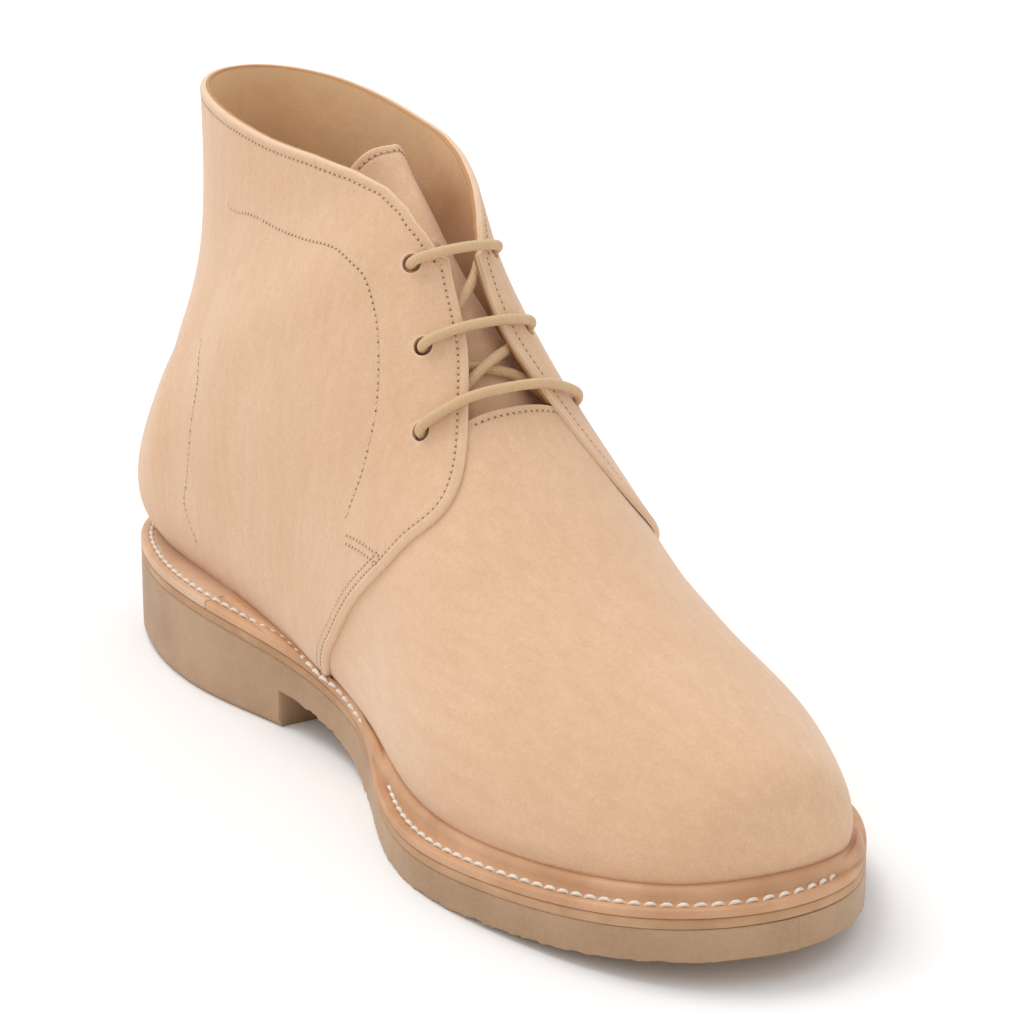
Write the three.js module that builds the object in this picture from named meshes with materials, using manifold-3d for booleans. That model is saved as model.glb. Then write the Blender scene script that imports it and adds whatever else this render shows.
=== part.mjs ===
// A suede chukka boot for the left foot, standing on its sole.
// X runs from heel to toe, Y to the outer side of the foot, Z up from the floor; all sizes are millimetres.
import * as THREE from "three";
import { mergeVertices } from "three/addons/utils/BufferGeometryUtils.js";
import Module from "manifold-3d";

const wasm = await Module();
wasm.setup();

// Driving dimensions of the boot.
const LENGTH = 305; // sole, heel to toe
const SOLE_WIDTH = 106.4; // sole at the ball
const BALL_WIDTH = 93; // upper at the ball
const SHAFT_HEIGHT = 156; // floor to the collar at the back
const HEEL_HEIGHT = 22.8; // rubber under the heel
const FORE_HEIGHT = 8.3; // rubber under the ball
const TOE_SPRING = 8; // lift of the toe off the floor
const ARCH_HEIGHT = 9.7; // hollow in front of the heel breast
const GAP = 0.3; // clearance between pieces that meet
const FACET = 0.25; // how far a facet may lie inside its curve

// Places along the boot, measured from the back of the heel.
const HEEL_BREAST = 108;
const ARCH_END = 156;
const FALL_START = 60; // where the rubber's top leaves heel height
const BALL = 205;
const WELT_JOINT = 78; // butt joint between rear and forefoot welt

// Sheet thicknesses.
const MIDSOLE = 2.1;
const WELT = 2.3;
const VAMP_WALL = 2.0;
const QUARTER_OUT = 1.6; // how far the quarters stand over the vamp
const QUARTER_IN = 1.0;
const MARGIN_WALL = 2.0; // lasting margin turned in under the foot
const MARGIN_INSET = 0.4; // its outer face, in from the vamp's
const MARGIN_EDGE = 18; // its inner edge, in from the sole's edge
const INSOLE = 2.5;
const TONGUE = 2.6;
const HOLE_RADIUS = 2.6;
const HOLE_LENGTH = 12; // of the punch that cuts them
const LACE_RADIUS = 1.35;

// How finely curved pieces are faceted: steps along the last, round it and round small sections.
const ROUND_STEPS = 32;
const VAMP_STEPS = 14;
const QUARTER_STEPS = 14;
const FOOT_STEPS = 20;
const WELT_STEPS = 44;
const HEEL_STEPS = 90; // closer, for the tight curve under the heel
const TONGUE_STEPS = 16;
const TONGUE_COLUMNS = 10;
const OUTLINE_STEPS = 84;
const LAYER_STEP = 12; // mm between points of a layer's side view
const HOLE_SIDES = 14;
const LACE_STEPS = 80;
const LACE_SIDES = 8;

// Limits that lie outside the boot on every side, for blocks that cut it.
const BEHIND = -20;
const AHEAD = LENGTH + 20;
const BELOW = -20;
const ABOVE = SHAFT_HEIGHT + 60;
const BESIDE = 100;

// The sole's outline as seen from above, heel round the inner side to the toe and back along the outer side.
// Columns: per cent of LENGTH from the heel, per cent of SOLE_WIDTH from the middle (outer side positive).
const OUTLINE = [
  [0.0, 0.0], [3.3, -21.0], [12.5, -34.6], [24.6, -37.2], [36.7, -30.6], [49.2, -30.6],
  [60.7, -43.2], [70.5, -49.7], [80.3, -46.4], [89.2, -38.9], [95.7, -27.8], [99.0, -15.2],
  [100.0, 0.6], [98.4, 14.8], [93.4, 29.4], [85.2, 43.2], [75.4, 49.2], [63.9, 50.2],
  [50.8, 45.2], [36.7, 38.6], [24.6, 35.8], [12.5, 34.6], [3.3, 21.6],
];

// Sections through the upper, fanned about the instep: the first lies at the toe, the last at the collar.
// top and low are the ends of each section in the side view, in per cent of LENGTH and of SHAFT_HEIGHT;
// middle, ridge, inner and outer are widths in per cent of BALL_WIDTH; widest is how far down the widest
// place lies; square is the exponent of the rounded corners.
const SECTION_COLUMNS = [
  "at", "topX", "topZ", "lowX", "lowZ", "middle", "ridge", "inner", "outer", "widest", "square",
];
const SECTIONS = [
  [0.00, 97.7, 18.6, 97.7, 18.6, 1.1, 0.0, 0.0, 0.0, 0.50, 2.1],
  [0.06, 96.1, 27.6, 96.7, 10.9, 1.1, 0.0, 18.0, 17.2, 0.50, 2.1],
  [0.14, 91.5, 32.7, 93.1, 3.8, 1.1, -1.1, 31.6, 30.1, 0.55, 2.1],
  [0.24, 83.6, 37.2, 84.9, 0.0, 1.1, -2.2, 43.4, 41.0, 0.58, 2.1],
  [0.35, 74.1, 42.3, 74.1, -1.3, 0.0, -3.2, 50.0, 48.4, 0.62, 2.0],
  [0.46, 64.9, 50.0, 61.6, -1.3, 1.1, -3.2, 48.4, 48.4, 0.64, 2.1],
  [0.56, 57.7, 59.6, 45.9, 2.6, 3.2, -2.2, 39.8, 44.1, 0.66, 2.3],
  [0.65, 52.5, 69.9, 29.5, 6.4, 3.2, 0.0, 36.6, 38.7, 0.68, 2.4],
  [0.73, 48.9, 78.2, 14.8, 10.3, 2.2, 2.2, 37.6, 36.6, 0.70, 2.4],
  [0.79, 46.6, 84.6, 2.6, 16.0, 1.1, 4.3, 37.6, 36.6, 0.72, 2.3],
  [0.84, 44.9, 89.7, 1.3, 30.8, 2.2, 4.3, 35.5, 33.3, 0.66, 2.2],
  [0.88, 43.6, 93.6, 3.3, 48.7, 4.3, 3.2, 30.1, 29.0, 0.60, 2.1],
  [0.92, 42.3, 96.8, 5.2, 65.4, 5.4, 3.2, 25.8, 24.7, 0.56, 2.1],
  [0.96, 41.0, 100.0, 5.9, 83.3, 5.4, 3.2, 24.2, 23.7, 0.54, 2.1],
  [1.00, 39.7, 103.2, 5.9, 101.3, 5.4, 3.2, 24.2, 23.7, 0.54, 2.1],
].map((row) => Object.fromEntries(SECTION_COLUMNS.map((name, i) => [name, row[i]])));

// Front edge of each quarter: down the facing, round its lower corner and down the seam to the welt.
// Columns: angle round the section in degrees from the ridge, section.
const INNER_EDGE = [
  [4, 0.96], [4.5, 0.85], [4.6, 0.78], [5, 0.73], [6.5, 0.68], [11, 0.632], [16, 0.594],
  [24, 0.553], [34, 0.535], [43, 0.538], [51, 0.546], [62, 0.556], [78, 0.576], [93, 0.588],
  [110, 0.592], [145, 0.592], [180, 0.592],
];
const OUTER_EDGE = [
  [4, 0.96], [4.5, 0.85], [4.6, 0.78], [5, 0.73], [7, 0.68], [12, 0.632], [18, 0.59],
  [28, 0.54], [37, 0.51], [46, 0.502], [55, 0.51], [66, 0.526], [80, 0.548], [95, 0.566],
  [112, 0.578], [145, 0.588], [180, 0.592],
];
const VAMP_END = 0.602; // section where the vamp stops at the throat
const FOOT_END = 0.94; // section past the back of the heel
const EDGE_ROOM = 0.03; // how far, in sections, a cutting form runs on past an edge

// Top line of the shaft in the side view. Columns: distance from the heel, height.
const COLLAR = [
  [BEHIND, 156.5], [18, 156], [40, 155], [60, 153.6], [80, 152.2], [98, 151.6], [112, 150],
  [122, 147.2], [130, 143], [136, 138], [141, 132.5], [170, 110], [BALL, 110],
];

// Lace holes, top to bottom. Columns: section, angle from the ridge in degrees.
const HOLES = [[0.8, 16], [0.698, 20.5], [0.617, 32.5]];

const CYLINDER_AXIS = new THREE.Vector3(0, 1, 0);

const rad = THREE.MathUtils.degToRad;

// Natural cubic curve through the points (x, y), as a function of x.
function curve(x, y) {
  const last = x.length - 1;
  const bend = new Array(last + 1).fill(0);
  const upper = new Array(last + 1).fill(0);
  const right = new Array(last + 1).fill(0);
  for (let i = 1; i < last; i++) {
    const before = x[i] - x[i - 1];
    const after = x[i + 1] - x[i];
    const pivot = 2 * (before + after) - before * upper[i - 1];
    const turn = 6 * ((y[i + 1] - y[i]) / after - (y[i] - y[i - 1]) / before);
    upper[i] = after / pivot;
    right[i] = (turn - before * right[i - 1]) / pivot;
  }
  for (let i = last - 1; i > 0; i--) bend[i] = right[i] - upper[i] * bend[i + 1];
  return (at) => {
    let i = 0;
    while (i < last - 1 && at > x[i + 1]) i++;
    const h = x[i + 1] - x[i];
    const a = (x[i + 1] - at) / h;
    const b = (at - x[i]) / h;
    const cubic = ((a ** 3 - a) * bend[i] + (b ** 3 - b) * bend[i + 1]) * h * h / 6;
    return a * y[i] + b * y[i + 1] + cubic;
  };
}

// 0 before the first place, 1 after the second, smooth between.
function ease(from, to, x) {
  return THREE.MathUtils.smoothstep(x, from, to);
}

// Heights of the sole's layers at a distance x from the heel.
function springAt(x) {
  return TOE_SPRING * (Math.max(0, x - BALL) / (LENGTH - BALL)) ** 2;
}

function rubberTop(x) {
  return HEEL_HEIGHT + (FORE_HEIGHT - HEEL_HEIGHT) * ease(FALL_START, BALL, x) + springAt(x);
}

function weltBottom(x) {
  return rubberTop(x) + GAP + MIDSOLE + GAP;
}

function weltTop(x) {
  return weltBottom(x) + WELT;
}

// The underside of the rubber: flat heel, hollow arch, flat forefoot and the lifted toe.
function rubberBottom() {
  const archSteps = 8;
  const toeSteps = 10;
  const archCurve = 1.7;
  const breastDraft = 0.01; // keeps the breast from being exactly upright
  const points = [[BEHIND, 0], [HEEL_BREAST, 0]];
  for (let i = 0; i <= archSteps; i++) {
    const t = i / archSteps;
    const x = HEEL_BREAST + t * (ARCH_END - HEEL_BREAST) + breastDraft;
    points.push([x, ARCH_HEIGHT * (1 - t ** archCurve)]);
  }
  for (let i = 0; i <= toeSteps; i++) {
    const x = BALL + (i / toeSteps) * (AHEAD - BALL);
    points.push([x, springAt(x)]);
  }
  return points;
}

// A line z(x) sampled over the whole sole.
function line(height) {
  const points = [];
  for (let x = BEHIND; x < AHEAD; x += LAYER_STEP) points.push([x, height(x)]);
  points.push([AHEAD, height(AHEAD)]);
  return points;
}

// Closed outline of the sole, drawn in by an inset. Points run anticlockwise seen from above.
function soleOutline(inset) {
  const wrap = 4;
  const count = OUTLINE.length;
  const at = [];
  const xs = [];
  const ys = [];
  let travelled = 0;
  for (let i = -wrap; i <= count + wrap; i++) {
    const [px, py] = OUTLINE[(i + count) % count];
    const x = px * LENGTH / 100;
    const y = py * SOLE_WIDTH / 100;
    if (xs.length) travelled += Math.hypot(x - xs[xs.length - 1], y - ys[ys.length - 1]);
    at.push(travelled);
    xs.push(x);
    ys.push(y);
  }
  const xAt = curve(at, xs);
  const yAt = curve(at, ys);
  const from = at[wrap];
  const round = at[wrap + count] - from;
  const points = [];
  for (let i = 0; i < OUTLINE_STEPS; i++) {
    const t = from + round * i / OUTLINE_STEPS;
    const slopeX = xAt(t + 0.1) - xAt(t - 0.1);
    const slopeY = yAt(t + 0.1) - yAt(t - 0.1);
    const length = Math.hypot(slopeX, slopeY);
    points.push([xAt(t) - inset * slopeY / length, yAt(t) + inset * slopeX / length]);
  }
  return points;
}

// Joining and cutting.
function solidOf(geometry) {
  geometry.deleteAttribute("normal");
  geometry.deleteAttribute("uv");
  const merged = mergeVertices(geometry, 1e-4);
  const vertProperties = new Float32Array(merged.attributes.position.array);
  const triVerts = new Uint32Array(merged.index.array);
  return new wasm.Manifold(new wasm.Mesh({ numProp: 3, vertProperties, triVerts }));
}

function geometryOf(solid) {
  const mesh = solid.getMesh();
  const geometry = new THREE.BufferGeometry();
  geometry.setAttribute("position", new THREE.BufferAttribute(new Float32Array(mesh.vertProperties), 3));
  geometry.setIndex(new THREE.BufferAttribute(new Uint32Array(mesh.triVerts), 1));
  return geometry;
}

function shapeOf(points) {
  return new THREE.Shape(points.map(([x, y]) => new THREE.Vector2(x, y)));
}

// An upright block with the given outline, seen from above.
function uprightBlock(points) {
  const geometry = new THREE.ExtrudeGeometry(shapeOf(points), { depth: ABOVE - BELOW, bevelEnabled: false });
  geometry.translate(0, 0, BELOW);
  return solidOf(geometry);
}

// A block right across the boot with the given outline, seen from the side.
function crossBlock(points) {
  const geometry = new THREE.ExtrudeGeometry(shapeOf(points), { depth: 2 * BESIDE, bevelEnabled: false });
  geometry.rotateX(Math.PI / 2);
  geometry.translate(0, BESIDE, 0);
  return solidOf(geometry);
}

// Everything between two lines z(x).
function layer(low, high) {
  return crossBlock([...line(low), ...line(high).reverse()]);
}

// The last, as functions of the section.
const ats = SECTIONS.map((row) => row.at);
const mirroredAts = [...ats.slice(1).reverse().map((at) => -at), ...ats];

// The toe is a pole: each curve runs on through it, and widths change sign there.
function throughToe(low, top) {
  return curve(mirroredAts, [...low.slice(1).reverse(), ...top]);
}

function column(name, scale) {
  return SECTIONS.map((row) => row[name] * scale);
}

function even(name, scale) {
  return throughToe(column(name, scale), column(name, scale));
}

function odd(name, scale) {
  return throughToe(column(name, -scale), column(name, scale));
}

const sideX = throughToe(column("lowX", LENGTH / 100), column("topX", LENGTH / 100));
const sideZ = throughToe(column("lowZ", SHAFT_HEIGHT / 100), column("topZ", SHAFT_HEIGHT / 100));
const middleAt = even("middle", BALL_WIDTH / 100);
const ridgeAt = even("ridge", BALL_WIDTH / 100);
const innerAt = odd("inner", BALL_WIDTH / 100);
const outerAt = odd("outer", BALL_WIDTH / 100);
const widestAt = even("widest", 1);
const squareAt = even("square", 1);

// Point on the last: section s, angle from the ridge, inner side first.
function lastPoint(s, angle) {
  const power = 2 / squareAt(s);
  const widest = widestAt(s);
  const across = Math.abs(Math.sin(angle)) ** power;
  const along = Math.abs(Math.cos(angle)) ** power;
  const front = Math.cos(angle) >= 0;
  const down = front ? widest * (1 - along) : widest + (1 - widest) * along;
  const side = Math.sin(angle) >= 0 ? -innerAt(s) : outerAt(s);
  const ridge = front ? ridgeAt(s) * (1 - across) : 0;
  return new THREE.Vector3(
    THREE.MathUtils.lerp(sideX(s), sideX(-s), down),
    middleAt(s) + ridge + side * across,
    THREE.MathUtils.lerp(sideZ(s), sideZ(-s), down),
  );
}

function lastNormal(s, angle) {
  const small = 1e-3;
  const along = lastPoint(s + small, angle).sub(lastPoint(s - small, angle));
  const round = lastPoint(s, angle + small).sub(lastPoint(s, angle - small));
  return along.cross(round).normalize();
}

// The last's surface moved out by an offset.
function offsetPoint(s, angle, offset) {
  return lastPoint(s, angle).addScaledVector(lastNormal(s, angle), offset);
}

function meshOf(points, faces) {
  const geometry = new THREE.BufferGeometry();
  geometry.setAttribute("position", new THREE.Float32BufferAttribute(points.flatMap((p) => p.toArray()), 3));
  geometry.setIndex(faces.flat());
  return geometry;
}

function quad(a, b, c, d) {
  return [[a, b, c], [a, c, d]];
}

// Solid last from the toe to section end; offset may depend on the section and the angle.
function lastSolid(end, rows, offset) {
  const columns = ROUND_STEPS;
  const points = [];
  const faces = [];
  const toe = 0.003;
  for (let i = 0; i <= rows; i++) {
    const s = toe + (end - toe) * (i / rows);
    for (let j = 0; j < columns; j++) {
      const angle = 2 * Math.PI * j / columns;
      points.push(offsetPoint(s, angle, offset(s, angle)));
    }
  }
  const ring = (i) => points.slice(i * columns, (i + 1) * columns);
  const centre = (list) => {
    const sum = list.reduce((total, p) => total.add(p), new THREE.Vector3());
    return sum.divideScalar(list.length);
  };
  const first = points.push(centre(ring(0))) - 1;
  const final = points.push(centre(ring(rows))) - 1;
  for (let j = 0; j < columns; j++) {
    const k = (j + 1) % columns;
    faces.push([first, k, j]);
    faces.push([final, rows * columns + j, rows * columns + k]);
    for (let i = 0; i < rows; i++) {
      const a = i * columns;
      const b = a + columns;
      faces.push(...quad(a + j, a + k, b + k, b + j));
    }
  }
  return outward(solidOf(meshOf(points, faces)), points, faces);
}

// A closed sheet between two grids of points of the same size.
function sheetSolid(outerGrid, innerGrid) {
  const rows = outerGrid.length;
  const columns = outerGrid[0].length;
  const points = [...outerGrid.flat(), ...innerGrid.flat()];
  const inner = rows * columns;
  const id = (i, j) => i * columns + j;
  const faces = [];
  for (let i = 0; i < rows - 1; i++) {
    for (let j = 0; j < columns - 1; j++) {
      const [a, b, c, d] = [id(i, j), id(i, j + 1), id(i + 1, j + 1), id(i + 1, j)];
      faces.push(...quad(a, b, c, d));
      faces.push(...quad(inner + a, inner + d, inner + c, inner + b));
    }
  }
  const wall = (a, b) => faces.push(...quad(b, a, inner + a, inner + b));
  for (let j = 0; j < columns - 1; j++) {
    wall(id(0, j), id(0, j + 1));
    wall(id(rows - 1, j + 1), id(rows - 1, j));
  }
  for (let i = 0; i < rows - 1; i++) {
    wall(id(i + 1, 0), id(i, 0));
    wall(id(i, columns - 1), id(i + 1, columns - 1));
  }
  return outward(solidOf(meshOf(points, faces)), points, faces);
}

// Turns a mesh the right way out.
function outward(solid, points, faces) {
  if (solid.volume() > 0) return solid;
  return solidOf(meshOf(points, faces.map(([a, b, c]) => [a, c, b])));
}

// The quarters' front edges as section over angle, all the way round.
const innerEdge = curve(INNER_EDGE.map((row) => row[0]), INNER_EDGE.map((row) => row[1]));
const outerEdge = curve(OUTER_EDGE.map((row) => row[0]), OUTER_EDGE.map((row) => row[1]));

function quarterEdge(angle) {
  const degrees = THREE.MathUtils.radToDeg(angle);
  return degrees <= 180 ? innerEdge(degrees) : outerEdge(360 - degrees);
}

// Angles that the quarters' columns follow: those of the edge tables in front, even steps behind.
function quarterAngles() {
  const front = (table) => table.map(([angle]) => angle).filter((angle) => angle < 100);
  const behind = [110, 121, 132, 142, 151, 159, 167, 174];
  const outer = [...front(OUTER_EDGE), ...behind].reverse().map((angle) => 360 - angle);
  return [...front(INNER_EDGE), ...behind, 180, ...outer].map(rad);
}

function quartersSheet(outOffset, inOffset) {
  const grid = (offset) => {
    const lines = [];
    for (let i = 0; i <= QUARTER_STEPS; i++) {
      lines.push(quarterAngles().map((angle) => {
        const edge = quarterEdge(angle);
        return offsetPoint(edge + (1 - edge) * (i / QUARTER_STEPS), angle, offset);
      }));
    }
    return lines;
  };
  return sheetSolid(grid(outOffset), grid(inOffset));
}

// The lace holes' places, inner side then outer side.
const holes = [1, -1].map((side) => HOLES.map(([s, degrees]) => ({
  s,
  angle: rad(side * degrees),
  point: lastPoint(s, rad(side * degrees)),
  normal: lastNormal(s, rad(side * degrees)),
})));

// Upper: vamp, quarters over it and the margin turned in under the foot, as one hollow piece.
function makeUpper() {
  const hollow = lastSolid(VAMP_END + EDGE_ROOM, VAMP_STEPS, () => -VAMP_WALL);
  const vamp = lastSolid(VAMP_END, VAMP_STEPS, () => 0).subtract(hollow);
  const quarters = quartersSheet(QUARTER_OUT, -QUARTER_IN);
  const above = layer(weltBottom, () => ABOVE);
  const walls = vamp.add(quarters).intersect(above);
  const turned = lastSolid(FOOT_END, FOOT_STEPS, () => -MARGIN_INSET)
    .intersect(layer(weltBottom, (x) => weltBottom(x) + MARGIN_WALL))
    .subtract(uprightBlock(soleOutline(MARGIN_EDGE)));
  const aboveCollar = crossBlock([...COLLAR, [BALL, ABOVE], [BEHIND, ABOVE]]);
  let upper = walls.add(turned).subtract(aboveCollar);
  for (const hole of holes.flat()) {
    const cutter = new THREE.CylinderGeometry(HOLE_RADIUS, HOLE_RADIUS, HOLE_LENGTH, HOLE_SIDES);
    cutter.applyQuaternion(new THREE.Quaternion().setFromUnitVectors(CYLINDER_AXIS, hole.normal));
    cutter.translate(hole.point.x, hole.point.y, hole.point.z);
    upper = upper.subtract(solidOf(cutter));
  }
  return upper;
}

// Tongue: sewn under the vamp's throat, sloping up and back to a rounded top inside the collar.
const TONGUE_ROOT = 0.555;
const TONGUE_TOP = 0.985;
const TONGUE_SEAT = VAMP_WALL + GAP + 0.15; // depth of its root, under the vamp
const TONGUE_DROP = 4.2; // room for the lace's strands above the throat
const TONGUE_DROPS_AT = [0.572, 0.612]; // sections between which it drops
const TONGUE_LEAN = new THREE.Vector3(-17, 0, -3);
const TONGUE_ARCH = 0.1; // how much lower its corners lie than its middle, in sections
const TONGUE_LEANS_AT = [0.68, TONGUE_TOP];
const TONGUE_SPREAD = [rad(33), rad(60)]; // half its width at the throat and at the top
const TONGUE_SPREADS_AT = [0.6, 0.9];

function makeTongue() {
  const grid = (thickness) => {
    const lines = [];
    for (let i = 0; i <= TONGUE_STEPS; i++) {
      const row = [];
      for (let j = 0; j <= TONGUE_COLUMNS; j++) {
        const across = 2 * j / TONGUE_COLUMNS - 1;
        const top = TONGUE_TOP - TONGUE_ARCH * across ** 2;
        const s = TONGUE_ROOT + (top - TONGUE_ROOT) * (i / TONGUE_STEPS);
        const angle = across * THREE.MathUtils.lerp(...TONGUE_SPREAD, ease(...TONGUE_SPREADS_AT, s));
        const depth = TONGUE_SEAT + TONGUE_DROP * ease(...TONGUE_DROPS_AT, s) + thickness;
        const point = offsetPoint(s, angle, -depth);
        row.push(point.addScaledVector(TONGUE_LEAN, ease(...TONGUE_LEANS_AT, s)));
      }
      lines.push(row);
    }
    return lines;
  };
  return sheetSolid(grid(0), grid(TONGUE));
}

// Insole: leather sock on top of the turned-in margin.
function makeInsole() {
  const bottom = (x) => weltBottom(x) + MARGIN_WALL + GAP;
  return lastSolid(FOOT_END, FOOT_STEPS, () => -VAMP_WALL - 2 * GAP)
    .intersect(layer(bottom, (x) => bottom(x) + INSOLE));
}

// Outsole: one moulded rubber unit, heel and sole together.
function makeOutsole() {
  const sideView = crossBlock([...rubberBottom(), ...line(rubberTop).reverse()]);
  return uprightBlock(soleOutline(0)).intersect(sideView);
}

function makeMidsole() {
  return uprightBlock(soleOutline(GAP))
    .intersect(layer((x) => rubberTop(x) + GAP, (x) => rubberTop(x) + GAP + MIDSOLE));
}

// The line where the upper meets a height z(x), from the joint round the toe and back.
function footLine(offset) {
  const height = (s, angle) => {
    const point = offsetPoint(s, angle, offset);
    return point.z - weltTop(point.x);
  };
  const root = (from, to, f) => {
    let low = from;
    let high = to;
    for (let i = 0; i < 40; i++) {
      const half = (low + high) / 2;
      if (Math.sign(f(half)) === Math.sign(f(low))) low = half;
      else high = half;
    }
    return (low + high) / 2;
  };
  const toe = root(0.01, 0.2, (s) => height(s, Math.PI));
  const end = 0.76;
  const steps = 28;
  const crowding = 0.35; // draws the points together at the toe
  const points = [];
  for (let i = -steps; i <= steps; i++) {
    const t = Math.abs(i) / steps;
    const s = toe + (end - toe) * t * t * (crowding * t * t + 1 - crowding) + 1e-4;
    const angle = root(rad(60), Math.PI, (a) => height(s, i < 0 ? a : 2 * Math.PI - a));
    const point = offsetPoint(s, i < 0 ? angle : 2 * Math.PI - angle, offset);
    points.push(point);
  }
  return points.filter((p) => p.x > WELT_JOINT + GAP / 2);
}

// The raised bead of the storm welt. Columns: distance out from the upper, part of the bead's height.
const BEAD = [[0, -0.3], [4.2, -0.3], [3.8, 0.7], [2.3, 1], [0.6, 0.8]];
const BEAD_HEIGHT = 3.4;
const BEAD_LOW = 0.9; // its height along the waist
const BEAD_FADE = [125, 165];

function makeBead() {
  const path = footLine(QUARTER_IN);
  const points = [];
  const faces = [];
  path.forEach((point, i) => {
    const next = path[Math.min(i + 1, path.length - 1)];
    const before = path[Math.max(i - 1, 0)];
    const out = new THREE.Vector3(next.y - before.y, before.x - next.x, 0).normalize().negate();
    const high = BEAD_LOW + (BEAD_HEIGHT - BEAD_LOW) * ease(...BEAD_FADE, point.x);
    for (const [away, part] of BEAD) {
      points.push(point.clone().addScaledVector(out, away - 1).add(new THREE.Vector3(0, 0, part * high)));
    }
  });
  const count = BEAD.length;
  for (let i = 0; i < path.length - 1; i++) {
    for (let j = 0; j < count; j++) {
      const k = (j + 1) % count;
      faces.push(...quad(i * count + j, i * count + k, (i + 1) * count + k, (i + 1) * count + j));
    }
  }
  for (let j = 1; j < count - 1; j++) {
    faces.push([0, j + 1, j]);
    const end = (path.length - 1) * count;
    faces.push([end, end + j, end + j + 1]);
  }
  return outward(solidOf(meshOf(points, faces)), points, faces);
}

// Welt: a leather strip all round, its forefoot part raised into a bead against the upper.
function makeWelts() {
  const clear = (s, angle) => GAP + FACET + (s > quarterEdge(angle) - EDGE_ROOM ? QUARTER_OUT : 0);
  const foot = (rows) => lastSolid(FOOT_END, rows, clear);
  const strip = uprightBlock(soleOutline(0)).intersect(layer(weltBottom, weltTop));
  const between = (from, to) => crossBlock([[from, BELOW], [to, BELOW], [to, ABOVE], [from, ABOVE]]);
  const behind = between(BEHIND, WELT_JOINT);
  const infront = between(WELT_JOINT + GAP, AHEAD);
  return {
    front: strip.intersect(infront).add(makeBead().intersect(infront)).subtract(foot(WELT_STEPS)),
    rear: strip.intersect(behind).subtract(foot(HEEL_STEPS)),
  };
}

// Lace: one cord through the holes. It comes out of each hole, bends over the facing's edge and back in.
const OVER = QUARTER_OUT + GAP + LACE_RADIUS + 0.2; // height of its middle over the facing
const UNDER = -(QUARTER_IN + GAP + LACE_RADIUS + 2 * FACET); // and under it

const HOLE_SLACK = 0.4; // how far the cord lies inside a true half circle
const HOLE_PULL = 0.45; // how far it is drawn back in the hole
const BAR_PARTS = [0.6, 0.36, 0, -0.36, -0.6]; // of the angle from the ridge to the holes
const BAR_DIPS = [0.1, 0.2, 0.6]; // of each bar over the tongue, top to bottom

// The half turn through a hole, from under the facing towards one point to over it towards another.
function turnThrough(hole, under, over) {
  const flat = (target) => {
    const way = target.clone().sub(hole.point);
    return way.addScaledVector(hole.normal, -way.dot(hole.normal)).normalize();
  };
  const inWay = flat(under);
  const outWay = flat(over);
  const radius = (OVER - UNDER) / 2;
  const middle = (OVER + UNDER) / 2;
  const at = (way, along, up) => {
    const point = hole.point.clone().addScaledVector(way, along);
    return point.addScaledVector(hole.normal, up);
  };
  const half = radius * Math.SQRT1_2;
  return [
    at(inWay, radius, UNDER),
    at(inWay, radius - half - HOLE_SLACK, middle - half),
    at(outWay, -HOLE_PULL, middle),
    at(outWay, radius - half - HOLE_SLACK, middle + half),
    at(outWay, radius, OVER),
  ];
}

// A bar across the opening: it follows the facings and lies straighter over the tongue.
function bar(row, dip) {
  const [inner, outer] = [holes[0][row], holes[1][row]];
  const points = [];
  for (const part of BAR_PARTS) {
    const lift = part === 0 ? OVER - dip : OVER;
    points.push(offsetPoint(inner.s, inner.angle * part, lift));
  }
  return { inner, outer, points };
}

function makeLace() {
  const [top, middle, low] = BAR_DIPS.map((dip, row) => bar(row, dip));
  const inside = (s, degrees, depth) => offsetPoint(s, rad(degrees), -depth);
  const hiddenStart = [
    inside(0.775, 25, 3.2),
    inside(0.74, 28, 3.2),
    inside(0.7, 28, 3.2),
    inside(0.675, 17, 3.4),
  ];
  const behind = [inside(0.656, 0, 4.9), inside(0.642, -13, 4)];
  const front = [inside(0.637, 14, 3.1), inside(0.657, 0, 1.7), inside(0.676, -12, 3.1)];
  const middleFront = [inside(0.72, 10, 3.1), inside(0.75, 0, 3.1), inside(0.775, -8, 3.1)];
  const hiddenEnd = inside(0.825, 7, 3.6);
  const route = [
    ...hiddenStart,
    ...behind,
    ...turnThrough(low.outer, behind[1], low.points[4]),
    ...[...low.points].reverse(),
    ...turnThrough(low.inner, front[0], low.points[0]).reverse(),
    ...front,
    ...turnThrough(middle.outer, front[2], middle.points[4]),
    ...[...middle.points].reverse(),
    ...turnThrough(middle.inner, middleFront[0], middle.points[0]).reverse(),
    ...middleFront,
    ...turnThrough(top.outer, middleFront[2], top.points[4]),
    ...[...top.points].reverse(),
    ...turnThrough(top.inner, hiddenEnd, top.points[0]).reverse(),
    hiddenEnd,
  ];
  const section = new THREE.Shape();
  for (let i = 0; i < LACE_SIDES; i++) {
    const angle = 2 * Math.PI * i / LACE_SIDES;
    const x = LACE_RADIUS * Math.cos(angle);
    const y = LACE_RADIUS * Math.sin(angle);
    if (i) section.lineTo(x, y);
    else section.moveTo(x, y);
  }
  const path = new THREE.CatmullRomCurve3(route, false, "centripetal");
  const options = { extrudePath: path, steps: LACE_STEPS, bevelEnabled: false };
  return solidOf(new THREE.ExtrudeGeometry(section, options));
}

// Materials, one for each kind of surface.
function material(color, roughness) {
  return new THREE.MeshStandardMaterial({ color, roughness, metalness: 0 });
}

const rubber = material(0xc9a57c, 0.55);
const edgeLeather = material(0xc69266, 0.7);
const weltLeather = material(0xcf9d75, 0.65);
const suede = material(0xd3ae84, 0.95);
const lining = material(0xd9a873, 0.7);
const cord = material(0xd8bd97, 0.8);

const boot = new THREE.Group();

// The model's origin is the middle of the sole's outline, at the floor.
const outlineBox = new THREE.Box2().setFromPoints(soleOutline(0).map(([x, y]) => new THREE.Vector2(x, y)));
const middle = outlineBox.getCenter(new THREE.Vector2());

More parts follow.
